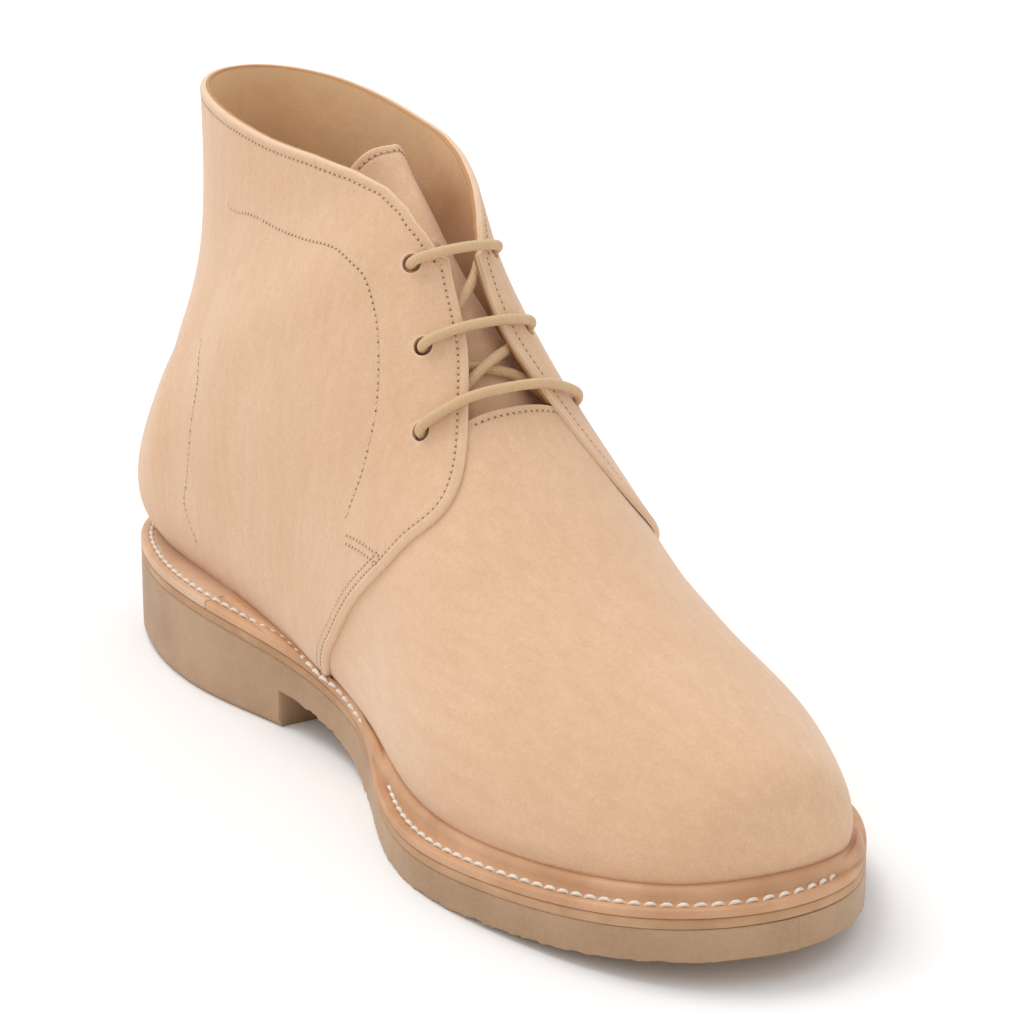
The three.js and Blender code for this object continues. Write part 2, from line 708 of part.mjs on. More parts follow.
function place(name, solid, surface) {
  const mesh = new THREE.Mesh(geometryOf(solid), surface);
  mesh.name = name;
  mesh.position.set(-middle.x, -middle.y, 0);
  boot.add(mesh);
}

const welts = makeWelts();
place("outsole", makeOutsole(), rubber);
place("midsole", makeMidsole(), edgeLeather);
place("welt_front", welts.front, weltLeather);
place("welt_rear", welts.rear, weltLeather);
place("upper", makeUpper(), suede);
place("tongue", makeTongue(), suede);
place("insole", makeInsole(), lining);
place("lace", makeLace(), cord);

export default boot;
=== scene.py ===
import math

import bpy
import numpy as np
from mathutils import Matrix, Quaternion, Vector
from mathutils.kdtree import KDTree


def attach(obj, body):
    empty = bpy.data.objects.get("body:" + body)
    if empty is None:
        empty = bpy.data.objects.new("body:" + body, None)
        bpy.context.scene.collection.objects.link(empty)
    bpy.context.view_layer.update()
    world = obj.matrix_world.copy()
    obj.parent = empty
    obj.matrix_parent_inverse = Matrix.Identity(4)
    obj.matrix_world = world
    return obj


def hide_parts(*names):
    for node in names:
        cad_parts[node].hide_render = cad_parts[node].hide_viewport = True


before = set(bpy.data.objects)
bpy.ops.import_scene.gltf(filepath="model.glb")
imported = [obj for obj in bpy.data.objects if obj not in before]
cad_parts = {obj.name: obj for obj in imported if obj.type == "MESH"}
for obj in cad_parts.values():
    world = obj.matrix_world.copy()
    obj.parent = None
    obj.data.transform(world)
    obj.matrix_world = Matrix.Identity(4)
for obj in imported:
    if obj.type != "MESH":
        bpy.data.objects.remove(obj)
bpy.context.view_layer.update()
MM = 0.001

# Camera: a long lens where the photographer stood, before the boot's inner side and a little above it.
# It is turned to the one boot, and the small roll is the photograph's own.
CAMERA_PLACE = Vector((0.8731, -0.5048, 0.4291))
CAMERA_AIM = Vector((0.0, 0.0121, 0.0657))
CAMERA_ROLL = -0.28  # degrees
CAMERA_LENS = 147.7

camera_data = bpy.data.cameras.new("camera")
camera_data.lens = CAMERA_LENS
camera = bpy.data.objects.new("camera", camera_data)
camera.location = CAMERA_PLACE
camera.rotation_mode = "QUATERNION"
aim = (CAMERA_AIM - CAMERA_PLACE).to_track_quat("-Z", "Y")
camera.rotation_quaternion = aim @ Quaternion((0, 0, 1), math.radians(CAMERA_ROLL))
bpy.context.collection.objects.link(camera)
bpy.context.scene.camera = camera

# Insole: a thin vegetable-tanned leather sock on the turned-in edge of the upper, seen through the collar.
# The form of the last comes with it, because every leather part of the boot is cut and pulled to that form.
LENGTH = 305
SOLE_WIDTH = 106.4
BALL_WIDTH = 93
SHAFT_HEIGHT = 156
HEEL_HEIGHT = 22.8
FORE_HEIGHT = 8.3
TOE_SPRING = 8
FALL_START = 60
BALL = 205
GAP = 0.3
MIDSOLE = 2.1
WELT = 2.3
MARGIN_WALL = 2.0
INSOLE = 2.5
VAMP_WALL = 2.0

# Columns: section, ends of the section in the side view in per cent of length and height, then widths in
# per cent of the ball width, how far down the widest place lies, and the exponent of the rounded corners.
SECTIONS = np.array([
    # at, topX, topZ, lowX, lowZ, middle, ridge, inner, outer, widest, square
    [0.00, 97.7, 18.6, 97.7, 18.6, 1.1, 0.0, 0.0, 0.0, 0.50, 2.1],
    [0.06, 96.1, 27.6, 96.7, 10.9, 1.1, 0.0, 18.0, 17.2, 0.50, 2.1],
    [0.14, 91.5, 32.7, 93.1, 3.8, 1.1, -1.1, 31.6, 30.1, 0.55, 2.1],
    [0.24, 83.6, 37.2, 84.9, 0.0, 1.1, -2.2, 43.4, 41.0, 0.58, 2.1],
    [0.35, 74.1, 42.3, 74.1, -1.3, 0.0, -3.2, 50.0, 48.4, 0.62, 2.0],
    [0.46, 64.9, 50.0, 61.6, -1.3, 1.1, -3.2, 48.4, 48.4, 0.64, 2.1],
    [0.56, 57.7, 59.6, 45.9, 2.6, 3.2, -2.2, 39.8, 44.1, 0.66, 2.3],
    [0.65, 52.5, 69.9, 29.5, 6.4, 3.2, 0.0, 36.6, 38.7, 0.68, 2.4],
    [0.73, 48.9, 78.2, 14.8, 10.3, 2.2, 2.2, 37.6, 36.6, 0.70, 2.4],
    [0.79, 46.6, 84.6, 2.6, 16.0, 1.1, 4.3, 37.6, 36.6, 0.72, 2.3],
    [0.84, 44.9, 89.7, 1.3, 30.8, 2.2, 4.3, 35.5, 33.3, 0.66, 2.2],
    [0.88, 43.6, 93.6, 3.3, 48.7, 4.3, 3.2, 30.1, 29.0, 0.60, 2.1],
    [0.92, 42.3, 96.8, 5.2, 65.4, 5.4, 3.2, 25.8, 24.7, 0.56, 2.1],
    [0.96, 41.0, 100.0, 5.9, 83.3, 5.4, 3.2, 24.2, 23.7, 0.54, 2.1],
    [1.00, 39.7, 103.2, 5.9, 101.3, 5.4, 3.2, 24.2, 23.7, 0.54, 2.1],
])
# The sole's outline. Columns: per cent of the length, per cent of the width from the middle.
OUTLINE = np.array([
    [0.0, 0.0], [3.3, -21.0], [12.5, -34.6], [24.6, -37.2], [36.7, -30.6], [49.2, -30.6],
    [60.7, -43.2], [70.5, -49.7], [80.3, -46.4], [89.2, -38.9], [95.7, -27.8], [99.0, -15.2],
    [100.0, 0.6], [98.4, 14.8], [93.4, 29.4], [85.2, 43.2], [75.4, 49.2], [63.9, 50.2],
    [50.8, 45.2], [36.7, 38.6], [24.6, 35.8], [12.5, 34.6], [3.3, 21.6],
])


def curve(places, values):
    """Natural cubic curve through the points."""
    x, y = np.asarray(places, float), np.asarray(values, float)
    h = np.diff(x)
    n = len(x)
    left, right = np.eye(n), np.zeros(n)
    for i in range(1, n - 1):
        left[i, i - 1:i + 2] = h[i - 1], 2 * (h[i - 1] + h[i]), h[i]
        right[i] = 6 * ((y[i + 1] - y[i]) / h[i] - (y[i] - y[i - 1]) / h[i - 1])
    bend = np.linalg.solve(left, right)

    def at(t):
        t = np.asarray(t, float)
        i = np.clip(np.searchsorted(x, t) - 1, 0, n - 2)
        a, b = (x[i + 1] - t) / h[i], (t - x[i]) / h[i]
        cubic = ((a**3 - a) * bend[i] + (b**3 - b) * bend[i + 1]) * h[i] ** 2 / 6
        return a * y[i] + b * y[i + 1] + cubic

    return at


def ease(start, end, x):
    t = np.clip((np.asarray(x, float) - start) / (end - start), 0, 1)
    return t * t * (3 - 2 * t)


def bell(x, middle, width):
    return np.exp(-(((np.asarray(x, float) - middle) / width) ** 2))


def along_line(points):
    """Distance travelled along a line of points."""
    steps = np.linalg.norm(np.diff(points, axis=0), axis=1)
    return np.concatenate([[0], np.cumsum(steps)])


def at_places(at, travelled, values):
    """Rows of values read off at distances along the line that they belong to."""
    return np.stack([np.interp(at, travelled, column) for column in values.T], 1)


def unit(v):
    return v / np.maximum(np.linalg.norm(v, axis=-1, keepdims=True), 1e-9)


def sole_outline(count):
    """Evenly spaced points of the sole's outline with outward normals, along the inner side first."""
    wrap = 4
    rows = np.vstack([OUTLINE[-wrap:], OUTLINE, OUTLINE[:wrap + 1]]) * [LENGTH / 100, SOLE_WIDTH / 100]
    at = along_line(rows)
    start, end = at[wrap], at[wrap + len(OUTLINE)]
    x, y = curve(at, rows[:, 0]), curve(at, rows[:, 1])
    t = np.linspace(start, end, 4001)
    fine = np.stack([x(t), y(t)], 1)
    travelled = along_line(fine)
    t = np.interp(np.arange(count) / count * travelled[-1], travelled, t)
    slope = unit(np.stack([x(t + 0.1) - x(t - 0.1), y(t + 0.1) - y(t - 0.1)], 1))
    return np.stack([x(t), y(t)], 1), np.stack([slope[:, 1], -slope[:, 0]], 1)


edge_points = sole_outline(2000)[0]
MIDDLE = np.array([*(edge_points.min(0) + edge_points.max(0)) / 2, 0])


def spring_at(x):
    return TOE_SPRING * (np.maximum(0, x - BALL) / (LENGTH - BALL)) ** 2


def rubber_top(x):
    return HEEL_HEIGHT + (FORE_HEIGHT - HEEL_HEIGHT) * ease(FALL_START, BALL, x) + spring_at(x)


def welt_bottom(x):
    return rubber_top(x) + GAP + MIDSOLE + GAP


def welt_top(x):
    return welt_bottom(x) + WELT


def through_toe(low, top):
    at = SECTIONS[:, 0]
    return curve([*-at[:0:-1], *at], [*low[:0:-1], *top])


side_x = through_toe(SECTIONS[:, 3] * LENGTH / 100, SECTIONS[:, 1] * LENGTH / 100)
side_z = through_toe(SECTIONS[:, 4] * SHAFT_HEIGHT / 100, SECTIONS[:, 2] * SHAFT_HEIGHT / 100)
middle_at, ridge_at = [through_toe(c, c) for c in (SECTIONS[:, 5:7] * BALL_WIDTH / 100).T]
inner_at, outer_at = [through_toe(-c, c) for c in (SECTIONS[:, 7:9] * BALL_WIDTH / 100).T]
widest_at, square_at = [through_toe(c, c) for c in SECTIONS[:, 9:].T]


def last_point(s, angle):
    """Point on the last: section s, angle from the ridge, inner side first."""
    s, angle = np.asarray(s, float), np.asarray(angle, float)
    power = 2 / square_at(s)
    across = np.abs(np.sin(angle)) ** power
    along = np.abs(np.cos(angle)) ** power
    front = np.cos(angle) >= 0
    widest = widest_at(s)
    down = np.where(front, widest * (1 - along), widest + (1 - widest) * along)
    side = np.where(np.sin(angle) >= 0, -inner_at(s), outer_at(s))
    ridge = np.where(front, ridge_at(s) * (1 - across), 0)
    x = side_x(s) + (side_x(-s) - side_x(s)) * down
    z = side_z(s) + (side_z(-s) - side_z(s)) * down
    return np.stack([x, middle_at(s) + ridge + side * across, z], -1)


def last_normal(s, angle):
    small = 1e-3
    s, angle = np.asarray(s, float), np.asarray(angle, float)
    along = last_point(s + small, angle) - last_point(s - small, angle)
    round_it = last_point(s, angle + small) - last_point(s, angle - small)
    return unit(np.cross(along, round_it))


def offset_point(s, angle, offset):
    return last_point(s, angle) + last_normal(s, angle) * np.asarray(offset)[..., None]


def root(f, low, high):
    """Where f changes sign between low and high, for arrays."""
    low, high = np.array(low, float), np.array(high, float)
    first = np.sign(f(low))
    for _ in range(40):
        half = (low + high) / 2
        same = np.sign(f(half)) == first
        low, high = np.where(same, half, low), np.where(same, high, half)
    return (low + high) / 2


def foot_line(level, offset, count):
    """Where the last meets a height: sections from toe to heel and the angle there on either side."""
    def over(s, angle):
        p = offset_point(s, angle, offset)
        return p[..., 2] - level(p[..., 0])

    toe = root(lambda s: over(s, np.pi), 0.01, 0.3)
    heel = root(lambda s: over(s, np.pi), 0.7, 0.9)
    t = (1 - np.cos(np.linspace(0, np.pi, count))) / 2
    s = toe + (heel - toe) * t
    angles = []
    for side in (1, -1):
        angle = root(lambda a: over(s, side * a), np.full(count, 1.0), np.full(count, np.pi))
        angles.append(side * angle)
    return s, angles


def add_mesh(name, points, faces, material):
    """A smooth mesh in its material slot, from points in millimetres."""
    mesh = bpy.data.meshes.new(name)
    mesh.from_pydata(((np.asarray(points).reshape(-1, 3) - MIDDLE) * MM).tolist(), [], faces)
    mesh.materials.append(material)
    mesh.shade_smooth()
    mesh.validate()
    piece = bpy.data.objects.new(name, mesh)
    bpy.context.collection.objects.link(piece)
    return piece


def grid_faces(rows, columns, start=0, flip=False, closed=False):
    """Quads of a grid of points; closed joins the last column to the first."""
    i, j = np.meshgrid(np.arange(rows - 1), np.arange(columns if closed else columns - 1), indexing="ij")
    k = (j + 1) % columns
    quads = np.stack([i * columns + j, i * columns + k, (i + 1) * columns + k, (i + 1) * columns + j], -1)
    quads = quads.reshape(-1, 4) + start
    return (quads[:, ::-1] if flip else quads).tolist()


def tube_faces(rows, sides, start=0):
    """A tube from rings of points, with both ends closed."""
    faces = grid_faces(rows, sides, start, closed=True)
    faces.append([start + k for k in range(sides - 1, -1, -1)])
    faces.append([start + (rows - 1) * sides + k for k in range(sides)])
    return faces


def shell_faces(rows, columns):
    """A closed sheet between two grids, the second one inside the first."""
    half = rows * columns
    faces = grid_faces(rows, columns) + grid_faces(rows, columns, half, flip=True)
    rim = [i * columns for i in range(rows - 1, 0, -1)] + list(range(columns))
    rim += [i * columns + columns - 1 for i in range(1, rows)]
    rim += [(rows - 1) * columns + j for j in range(columns - 2, 0, -1)]
    for a, b in zip(rim, rim[1:] + rim[:1]):
        faces.append([b, a, half + a, half + b])
    return faces


def grid_normals(points):
    du = np.gradient(points, axis=0)
    dv = np.gradient(points, axis=1)
    return unit(np.cross(du, dv))


class Finish:
    """A material with its nodes at hand."""

    def __init__(self, name, roughness, sheen=0.0, specular=0.4):
        self.material = bpy.data.materials.new(name)
        self.material.use_nodes = True
        self.tree = self.material.node_tree
        self.shader = self.tree.nodes["Principled BSDF"]
        self.shader.inputs["Roughness"].default_value = roughness
        self.shader.inputs["Specular IOR Level"].default_value = specular
        self.shader.inputs["Sheen Weight"].default_value = sheen
        self.shader.inputs["Sheen Roughness"].default_value = 0.5
        self.place = self.node("ShaderNodeTexCoord").outputs["Object"]

    def node(self, kind, **values):
        made = self.tree.nodes.new(kind)
        for key, value in values.items():
            if hasattr(made, key):
                setattr(made, key, value)
            else:
                made.inputs[key.replace("_", " ")].default_value = value
        return made

    def link(self, source, target):
        self.tree.links.new(source, target)

    def noise(self, size, detail=3.0, stretch=(1, 1, 1), roughness=0.5):
        """Noise with features of a size in millimetres, drawn out along an axis by stretch."""
        mapping = self.node("ShaderNodeMapping")
        mapping.inputs["Scale"].default_value = [1 / s for s in stretch]
        self.link(self.place, mapping.inputs["Vector"])
        made = self.node("ShaderNodeTexNoise", Scale=1000 / size, Detail=detail, Roughness=roughness)
        self.link(mapping.outputs["Vector"], made.inputs["Vector"])
        return made.outputs["Fac"]

    def attribute(self, name):
        return self.node("ShaderNodeAttribute", attribute_name=name).outputs["Fac"]

    def spread(self, value, low, high):
        """Draws a value's range low to high out to 0 to 1."""
        made = self.node("ShaderNodeMapRange", From_Min=low, From_Max=high)
        self.link(value, made.inputs["Value"])
        return made.outputs["Result"]

    def times(self, value, factor):
        made = self.node("ShaderNodeMath", operation="MULTIPLY")
        self.link(value, made.inputs[0])
        if isinstance(factor, float):
            made.inputs[1].default_value = factor
        else:
            self.link(factor, made.inputs[1])
        return made.outputs[0]

    def mix(self, factor, first, second):
        """Colour between two colours or colour outputs."""
        made = self.node("ShaderNodeMix", data_type="RGBA")
        self.link(factor, made.inputs[0])
        for socket, colour in ((made.inputs[6], first), (made.inputs[7], second)):
            if isinstance(colour, tuple):
                socket.default_value = (*colour, 1)
            else:
                self.link(colour, socket)
        return made.outputs[2]

    def colour(self, output):
        self.link(output, self.shader.inputs["Base Color"])

    def bump(self, height, depth, strength=1.0):
        """Adds relief of a depth in millimetres over what is there already."""
        made = self.node("ShaderNodeBump", Distance=depth * MM, Strength=strength)
        self.link(height, made.inputs["Height"])
        before = self.shader.inputs["Normal"].links
        if before:
            self.link(before[0].from_socket, made.inputs["Normal"])
        self.link(made.outputs["Normal"], self.shader.inputs["Normal"])


def tan_leather(name, pale, deep, roughness):
    """Smooth undyed leather with pores and soft stains."""
    finish = Finish(name, roughness)
    stains = finish.spread(finish.noise(22, 4), 0.35, 0.65)
    grain = finish.spread(finish.noise(0.9, 3), 0.3, 0.7)
    body = finish.mix(stains, pale, deep)
    finish.colour(finish.mix(finish.times(grain, 0.25), body, deep))
    finish.bump(finish.noise(0.7, 3), 0.08)
    finish.bump(finish.noise(6, 2), 0.25)
    return finish


INSOLE_PALE = (0.80, 0.55, 0.33)
INSOLE_DEEP = (0.66, 0.41, 0.22)
INSOLE_INSET = VAMP_WALL + 2 * GAP
INSOLE_STATIONS = 150
INSOLE_ACROSS = 40


def insole_bottom(x):
    return welt_bottom(x) + MARGIN_WALL + GAP


insole_leather = tan_leather("insole_leather", INSOLE_PALE, INSOLE_DEEP, 0.55)
insole_s, insole_angles = foot_line(lambda x: insole_bottom(x) + INSOLE, -INSOLE_INSET, INSOLE_STATIONS)
insole_sides = [offset_point(insole_s, a, np.full(INSOLE_STATIONS, -INSOLE_INSET)) for a in insole_angles]
across = np.linspace(0, 1, INSOLE_ACROSS)[None, :, None]
insole_grid = insole_sides[0][:, None] * (1 - across) + insole_sides[1][:, None] * across
insole_top = insole_grid.copy()
insole_top[..., 2] = insole_bottom(insole_grid[..., 0]) + INSOLE
rounding = np.minimum(across[..., 0], 1 - across[..., 0]) * INSOLE_ACROSS
insole_top[..., 2] -= 0.5 * (1 - ease(0, 2, rounding))
insole_low = insole_grid.copy()
insole_low[..., 2] = insole_bottom(insole_grid[..., 0])
insole = add_mesh(
    "insole_sock", np.concatenate([insole_top, insole_low]), shell_faces(INSOLE_STATIONS, INSOLE_ACROSS),
    insole_leather.material)
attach(insole, "root")
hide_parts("insole")

# Vamp: one piece of suede over the toes and the instep, pulled wet over the last and in under the foot.
# Its throat edge shows between the facings, where a row of stitches holds the tongue under it.
VAMP_END = 0.602
VAMP_TOE_CORNER = 0.16  # section where the grid's toe corners lie, under the welt
VAMP_ROWS = 140
VAMP_COLUMNS = 150
VAMP_BACK = 0.7  # how far the suede's back lies from the wall's inside
VAMP_LINING = 0.68
HIDDEN = 3.0  # how far leather runs on under the welt's top
THROAT_ROW = 2.2  # stitches in from the throat edge
THREAD_RADIUS = 0.2
THREAD_PITCH = 1.75
SUEDE_BODY = (0.760, 0.495, 0.315)
SUEDE_PALE = (0.830, 0.590, 0.410)
SUEDE_DEEP = (0.560, 0.325, 0.180)

# Soft troughs and ridges of the worked leather. Columns: two ends, width, depth (a ridge is negative).
CREASES = [
    [(52, -34, 42), (60, -24, 118), 7.0, 0.9],
    [(40, -36, 48), (44, -24, 110), 5.0, -0.6],
    [(74, -33, 50), (76, -26, 112), 6.0, -0.5],
    [(88, -31, 46), (92, -26, 100), 6.0, 0.5],
    [(34, 28, 50), (46, 26, 112), 7.0, 0.8],
    [(70, 36, 50), (76, 28, 108), 7.0, 0.6],
    [(18, -18, 84), (60, -30, 78), 5.0, 0.45],
    [(18, 20, 84), (60, 32, 78), 5.0, 0.45],
    [(186, -34, 50), (224, -40, 44), 7.0, 0.5],
    [(178, 20, 74), (204, 40, 56), 8.0, 0.5],
    [(232, -26, 52), (252, 14, 55), 9.0, 0.35],
    [(262, 26, 44), (276, 4, 50), 5.0, 0.3],
    [(268, -28, 36), (284, -12, 40), 5.0, 0.3],
]


def crease(points):
    """How far the creases push a surface in."""
    total = np.zeros(points.shape[:-1])
    for start, end, width, depth in CREASES:
        start, way = np.array(start, float), np.subtract(end, start).astype(float)
        t = np.clip((points - start) @ way / (way @ way), -0.2, 1.2)
        away = np.linalg.norm(points - start - t[..., None] * way, axis=-1)
        fade = ease(-0.2, 0.25, t) * (1 - ease(0.75, 1.2, t))
        total += depth * fade * np.exp(-((away / width) ** 2))
    return total


def in_plane(s, angle):
    """The last's surface unrolled about the toe, where its sections start."""
    return np.stack([s * np.cos(angle), s * np.sin(angle)], -1)


def off_plane(plane):
    return np.hypot(plane[..., 0], plane[..., 1]), np.arctan2(plane[..., 1], plane[..., 0])


def evenly(line, count):
    """Spaces a line of places evenly along the last."""
    travelled = along_line(last_point(*off_plane(line)))
    return at_places(np.linspace(0, travelled[-1], count), travelled, line)


def patch(low, high, left, right):
    """A grid of places spanned between four lines that share their corners."""
    v = np.linspace(0, 1, len(left))[:, None, None]
    u = np.linspace(0, 1, len(low))[None, :, None]
    sides = (1 - v) * low + v * high + (1 - u) * left[:, None] + u * right[:, None]
    corners = (1 - v) * ((1 - u) * low[0] + u * low[-1]) + v * ((1 - u) * high[0] + u * high[-1])
    return sides - corners


def respace(grid, axis, places):
    """Moves a grid's lines along one axis to the distances that places gives for each line's length."""
    grid = np.moveaxis(grid, axis, 0)
    solid = last_point(*off_plane(grid))
    steps = np.linalg.norm(np.diff(solid, axis=0), axis=-1)
    travelled = np.concatenate([np.zeros((1, grid.shape[1])), np.cumsum(steps, axis=0)])
    lines = [at_places(places(travelled[-1, j]), travelled[:, j], grid[:, j]) for j in range(grid.shape[1])]
    return np.moveaxis(np.stack(lines, 1), 0, axis)


def distance_to(points, line, reach):
    """Distance of each point to a line of points, up to a reach."""
    tree = KDTree(len(line))
    for i, p in enumerate(line):
        tree.insert(p, i)
    tree.balance()
    flat = points.reshape(-1, 3)
    found = [min(tree.find(p)[2], reach) for p in flat]
    return np.array(found).reshape(points.shape[:-1])


def rounded(distance, radius):
    """How far a rounded edge falls away, at a distance in from it."""
    t = np.clip(1 - distance / radius, 0, 1)
    return radius * (1 - np.sqrt(1 - t * t))


def suede(name, drawn):
    """Fine nap: mottled, brushed in streaks drawn out along the leather, with pale and dark fibre tips."""
    finish = Finish(name, 0.95, sheen=0.3, specular=0.12)
    mottle = finish.spread(finish.noise(34, 4), 0.33, 0.67)
    streaks = finish.spread(finish.noise(3.2, 4, stretch=drawn, roughness=0.6), 0.35, 0.65)
    tips = finish.spread(finish.noise(0.55, 2, roughness=0.6), 0.32, 0.68)
    clumps = finish.spread(finish.noise(1.7, 3, roughness=0.6), 0.3, 0.7)
    body = finish.mix(finish.times(mottle, 0.45), SUEDE_BODY, SUEDE_PALE)
    body = finish.mix(finish.times(streaks, 0.22), body, SUEDE_DEEP)
    body = finish.mix(finish.times(clumps, 0.2), body, SUEDE_DEEP)
    body = finish.mix(finish.times(tips, 0.34), body, SUEDE_DEEP)
    body = finish.mix(finish.times(finish.attribute("worn"), 0.75), body, SUEDE_EDGE)
    finish.colour(body)
    finish.bump(finish.noise(0.5, 3, roughness=0.65), 0.16, 0.55)
    finish.bump(finish.noise(1.9, 3), 0.22, 0.4)
    finish.bump(finish.noise(9, 2), 0.4, 0.5)
    return finish


def set_worn(piece, values):
    """Stores how far each point shows the leather's cut edge."""
    layer = piece.data.attributes.new("worn", "FLOAT", "POINT")
    layer.data.foreach_set("value", np.asarray(values, np.float32).ravel())


def on_last(points, s, angle):
    """Sections and angles of the places on the last nearest to the points, from a first guess."""
    small = 1e-3
    for _ in range(6):
        base = last_point(s, angle)
        du = (last_point(s + small, angle) - base) / small
        dv = (last_point(s, angle + small) - base) / small
        miss = points - base
        a, b, c = (du * du).sum(-1), (du * dv).sum(-1), (dv * dv).sum(-1)
        p, q = (du * miss).sum(-1), (dv * miss).sum(-1)
        det = a * c - b * b
        s = s + (c * p - b * q) / det
        angle = angle + (a * q - b * p) / det
    return s, angle


def smoothed(points, reach):
    """Running mean over reach points to either side."""
    padded = np.pad(points, ((reach, reach), (0, 0)), "edge")
    total = np.cumsum(np.vstack([np.zeros((1, points.shape[1])), padded]), axis=0)
    return (total[2 * reach + 1:] - total[:-2 * reach - 1]) / (2 * reach + 1)


def beside(places, way_in, distance):
    """A line on the last beside another one, a distance in towards the places of way_in."""
    s, angle = off_plane(places)
    points, normals = last_point(s, angle), smoothed(last_normal(s, angle), 12)
    tangent = unit(smoothed(np.gradient(points, axis=0), 12))
    side = unit(np.cross(normals, tangent))
    inwards = np.sign(((way_in - points) * side).sum(-1).mean())
    return in_plane(*on_last(points + side * inwards * distance, s, angle))


def stitch_places(places, height, pitch, pushed=None):
    """Middles, tangents and normals of the stitches of a row that follows places on the last."""
    s, angle = off_plane(places)
    height = np.full(len(s), float(height))
    if pushed:
        height -= pushed(last_point(s, angle))
    points = offset_point(s, angle, height)
    reach = 5
    inside = slice(2 * reach, -2 * reach)
    return space_row(smoothed(points, reach)[inside], smoothed(last_normal(s, angle), reach)[inside], pitch)


def space_row(points, normals, pitch):
    travelled = along_line(points)
    count = max(2, round(travelled[-1] / pitch))
    at = (np.arange(count) + 0.5) * travelled[-1] / count
    middles, tangents, normals = [
        at_places(at, travelled, values) for values in (points, np.gradient(points, axis=0), normals)]
    return middles, unit(tangents), unit(normals), travelled[-1] / count


def each_stitch(rows):
    """Middle, tangent, normal, way to the side and pitch of every stitch."""
    for middles, tangents, normals, pitch in rows:
        for c, t, n, b in zip(middles, tangents, normals, np.cross(normals, tangents)):
            yield c, t, n, b, pitch


def threads(rows, radius, share, sides=6):
    """Short stitches that dip into the leather at both ends; share is a stitch's part of the pitch."""
    points, faces = [], []
    ring = np.linspace(0, 2 * np.pi, sides, endpoint=False)
    parts = np.array([-1, -0.8, -0.35, 0.35, 0.8, 1])
    for c, t, n, b, pitch in each_stitch(rows):
        start = len(points)
        for part in parts:
            thick = radius * math.sqrt(max(0.08, 1 - part**4))
            up = radius * (0.55 - 1.25 * part**4)
            centre = c + t * part * pitch * share / 2 + n * up
            for w in ring:
                points.append(centre + (b * math.cos(w) + n * math.sin(w)) * thick)
        faces += grid_faces(len(parts), sides, start, closed=True)
        last_ring = start + (len(parts) - 1) * sides
        faces.append([start + k for k in range(sides)])
        faces.append([last_ring + k for k in range(sides - 1, -1, -1)])
    return np.array(points), faces


def painted_hole_shades(rows, radius, sides=8):
    """Painted shade of the needle's holes between stitches: small dark rounds just proud of the leather, in
    place of the shadow in each hole.
    """
    points, faces = [], []
    for c, t, n, b, pitch in each_stitch(rows):
        start = len(points)
        centre = c + t * pitch / 2
        points += [centre + n * 0.05, centre - n * 0.15]
        for w in np.linspace(0, 2 * np.pi, sides, endpoint=False):
            points.append(centre + (t * math.cos(w) + b * math.sin(w)) * radius + n * 0.08)
        for k in range(sides):
            rim = [start + 2 + k, start + 2 + (k + 1) % sides]
            faces += [[start, *rim], [start + 1, *rim[::-1]]]
    return np.array(points), faces


SUEDE_EDGE = (0.80, 0.60, 0.42)
THREAD_PALE = (0.80, 0.66, 0.48)
THREAD_DEEP = (0.62, 0.46, 0.30)
# The needle holes' colour is painted shade: dark rounds stand in for the shadow inside each hole.
HOLE_SHADE_COLOUR = (0.16, 0.085, 0.045)

thread_finish = Finish("sewing_thread", 0.75, specular=0.25)
thread_finish.colour(thread_finish.mix(thread_finish.noise(1.2), THREAD_PALE, THREAD_DEEP))
thread_finish.bump(thread_finish.noise(0.25), 0.06)
# Finish of the needle holes' painted shade.
hole_shade_finish = Finish("needle_hole_painted_shade", 0.9, specular=0.1)
hole_shade_finish.colour(hole_shade_finish.mix(hole_shade_finish.noise(2), HOLE_SHADE_COLOUR, SUEDE_DEEP))


def sew(name, rows, radius=THREAD_RADIUS):
    """Rows of stitches with the painted shade of their needle holes, as two pieces."""
    for kind, (points, faces), finish in (
        ("stitches", threads(rows, radius, 0.72), thread_finish),
        ("painted_hole_shades", painted_hole_shades(rows, radius * 1.7), hole_shade_finish),
    ):
        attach(add_mesh(f"{name}_{kind}", points, faces, finish.material), "root")


def hidden_level(x):
    return welt_top(x) - HIDDEN


foot_s, foot_angles = foot_line(hidden_level, 0.0, 1200)
vamp_sides = [in_plane(foot_s, a)[foot_s <= VAMP_END] for a in foot_angles]
corner = np.searchsorted(foot_s, VAMP_TOE_CORNER)
toe_line = np.concatenate([vamp_sides[0][corner::-1], vamp_sides[1][1:corner + 1]])
throat_from, throat_to = [off_plane(side[-1])[1] for side in vamp_sides]
throat_angles = np.linspace(throat_from, throat_to, 800)
throat_line = in_plane(np.full(800, vamp_sides[0][-1] @ vamp_sides[0][-1]) ** 0.5, throat_angles)
vamp_places = patch(
    evenly(toe_line, VAMP_COLUMNS), evenly(throat_line, VAMP_COLUMNS),
    evenly(vamp_sides[0][corner:], VAMP_ROWS), evenly(vamp_sides[1][corner:], VAMP_ROWS))
for axis, count in ((1, VAMP_COLUMNS), (0, VAMP_ROWS)):
    vamp_places = respace(vamp_places, axis, lambda length: np.linspace(0, length, count))


def to_edge(length):
    """Closely spaced places at the end of a line, for a rounded edge with a row of stitches."""
    close = np.array([0, 0.15, 0.35, 0.6, 0.9, 1.3, 1.8, 2.2, 2.6, 3.1, 3.8])
    rest = np.linspace(5, length, VAMP_ROWS - len(close))
    return length - np.concatenate([close, rest])[::-1]


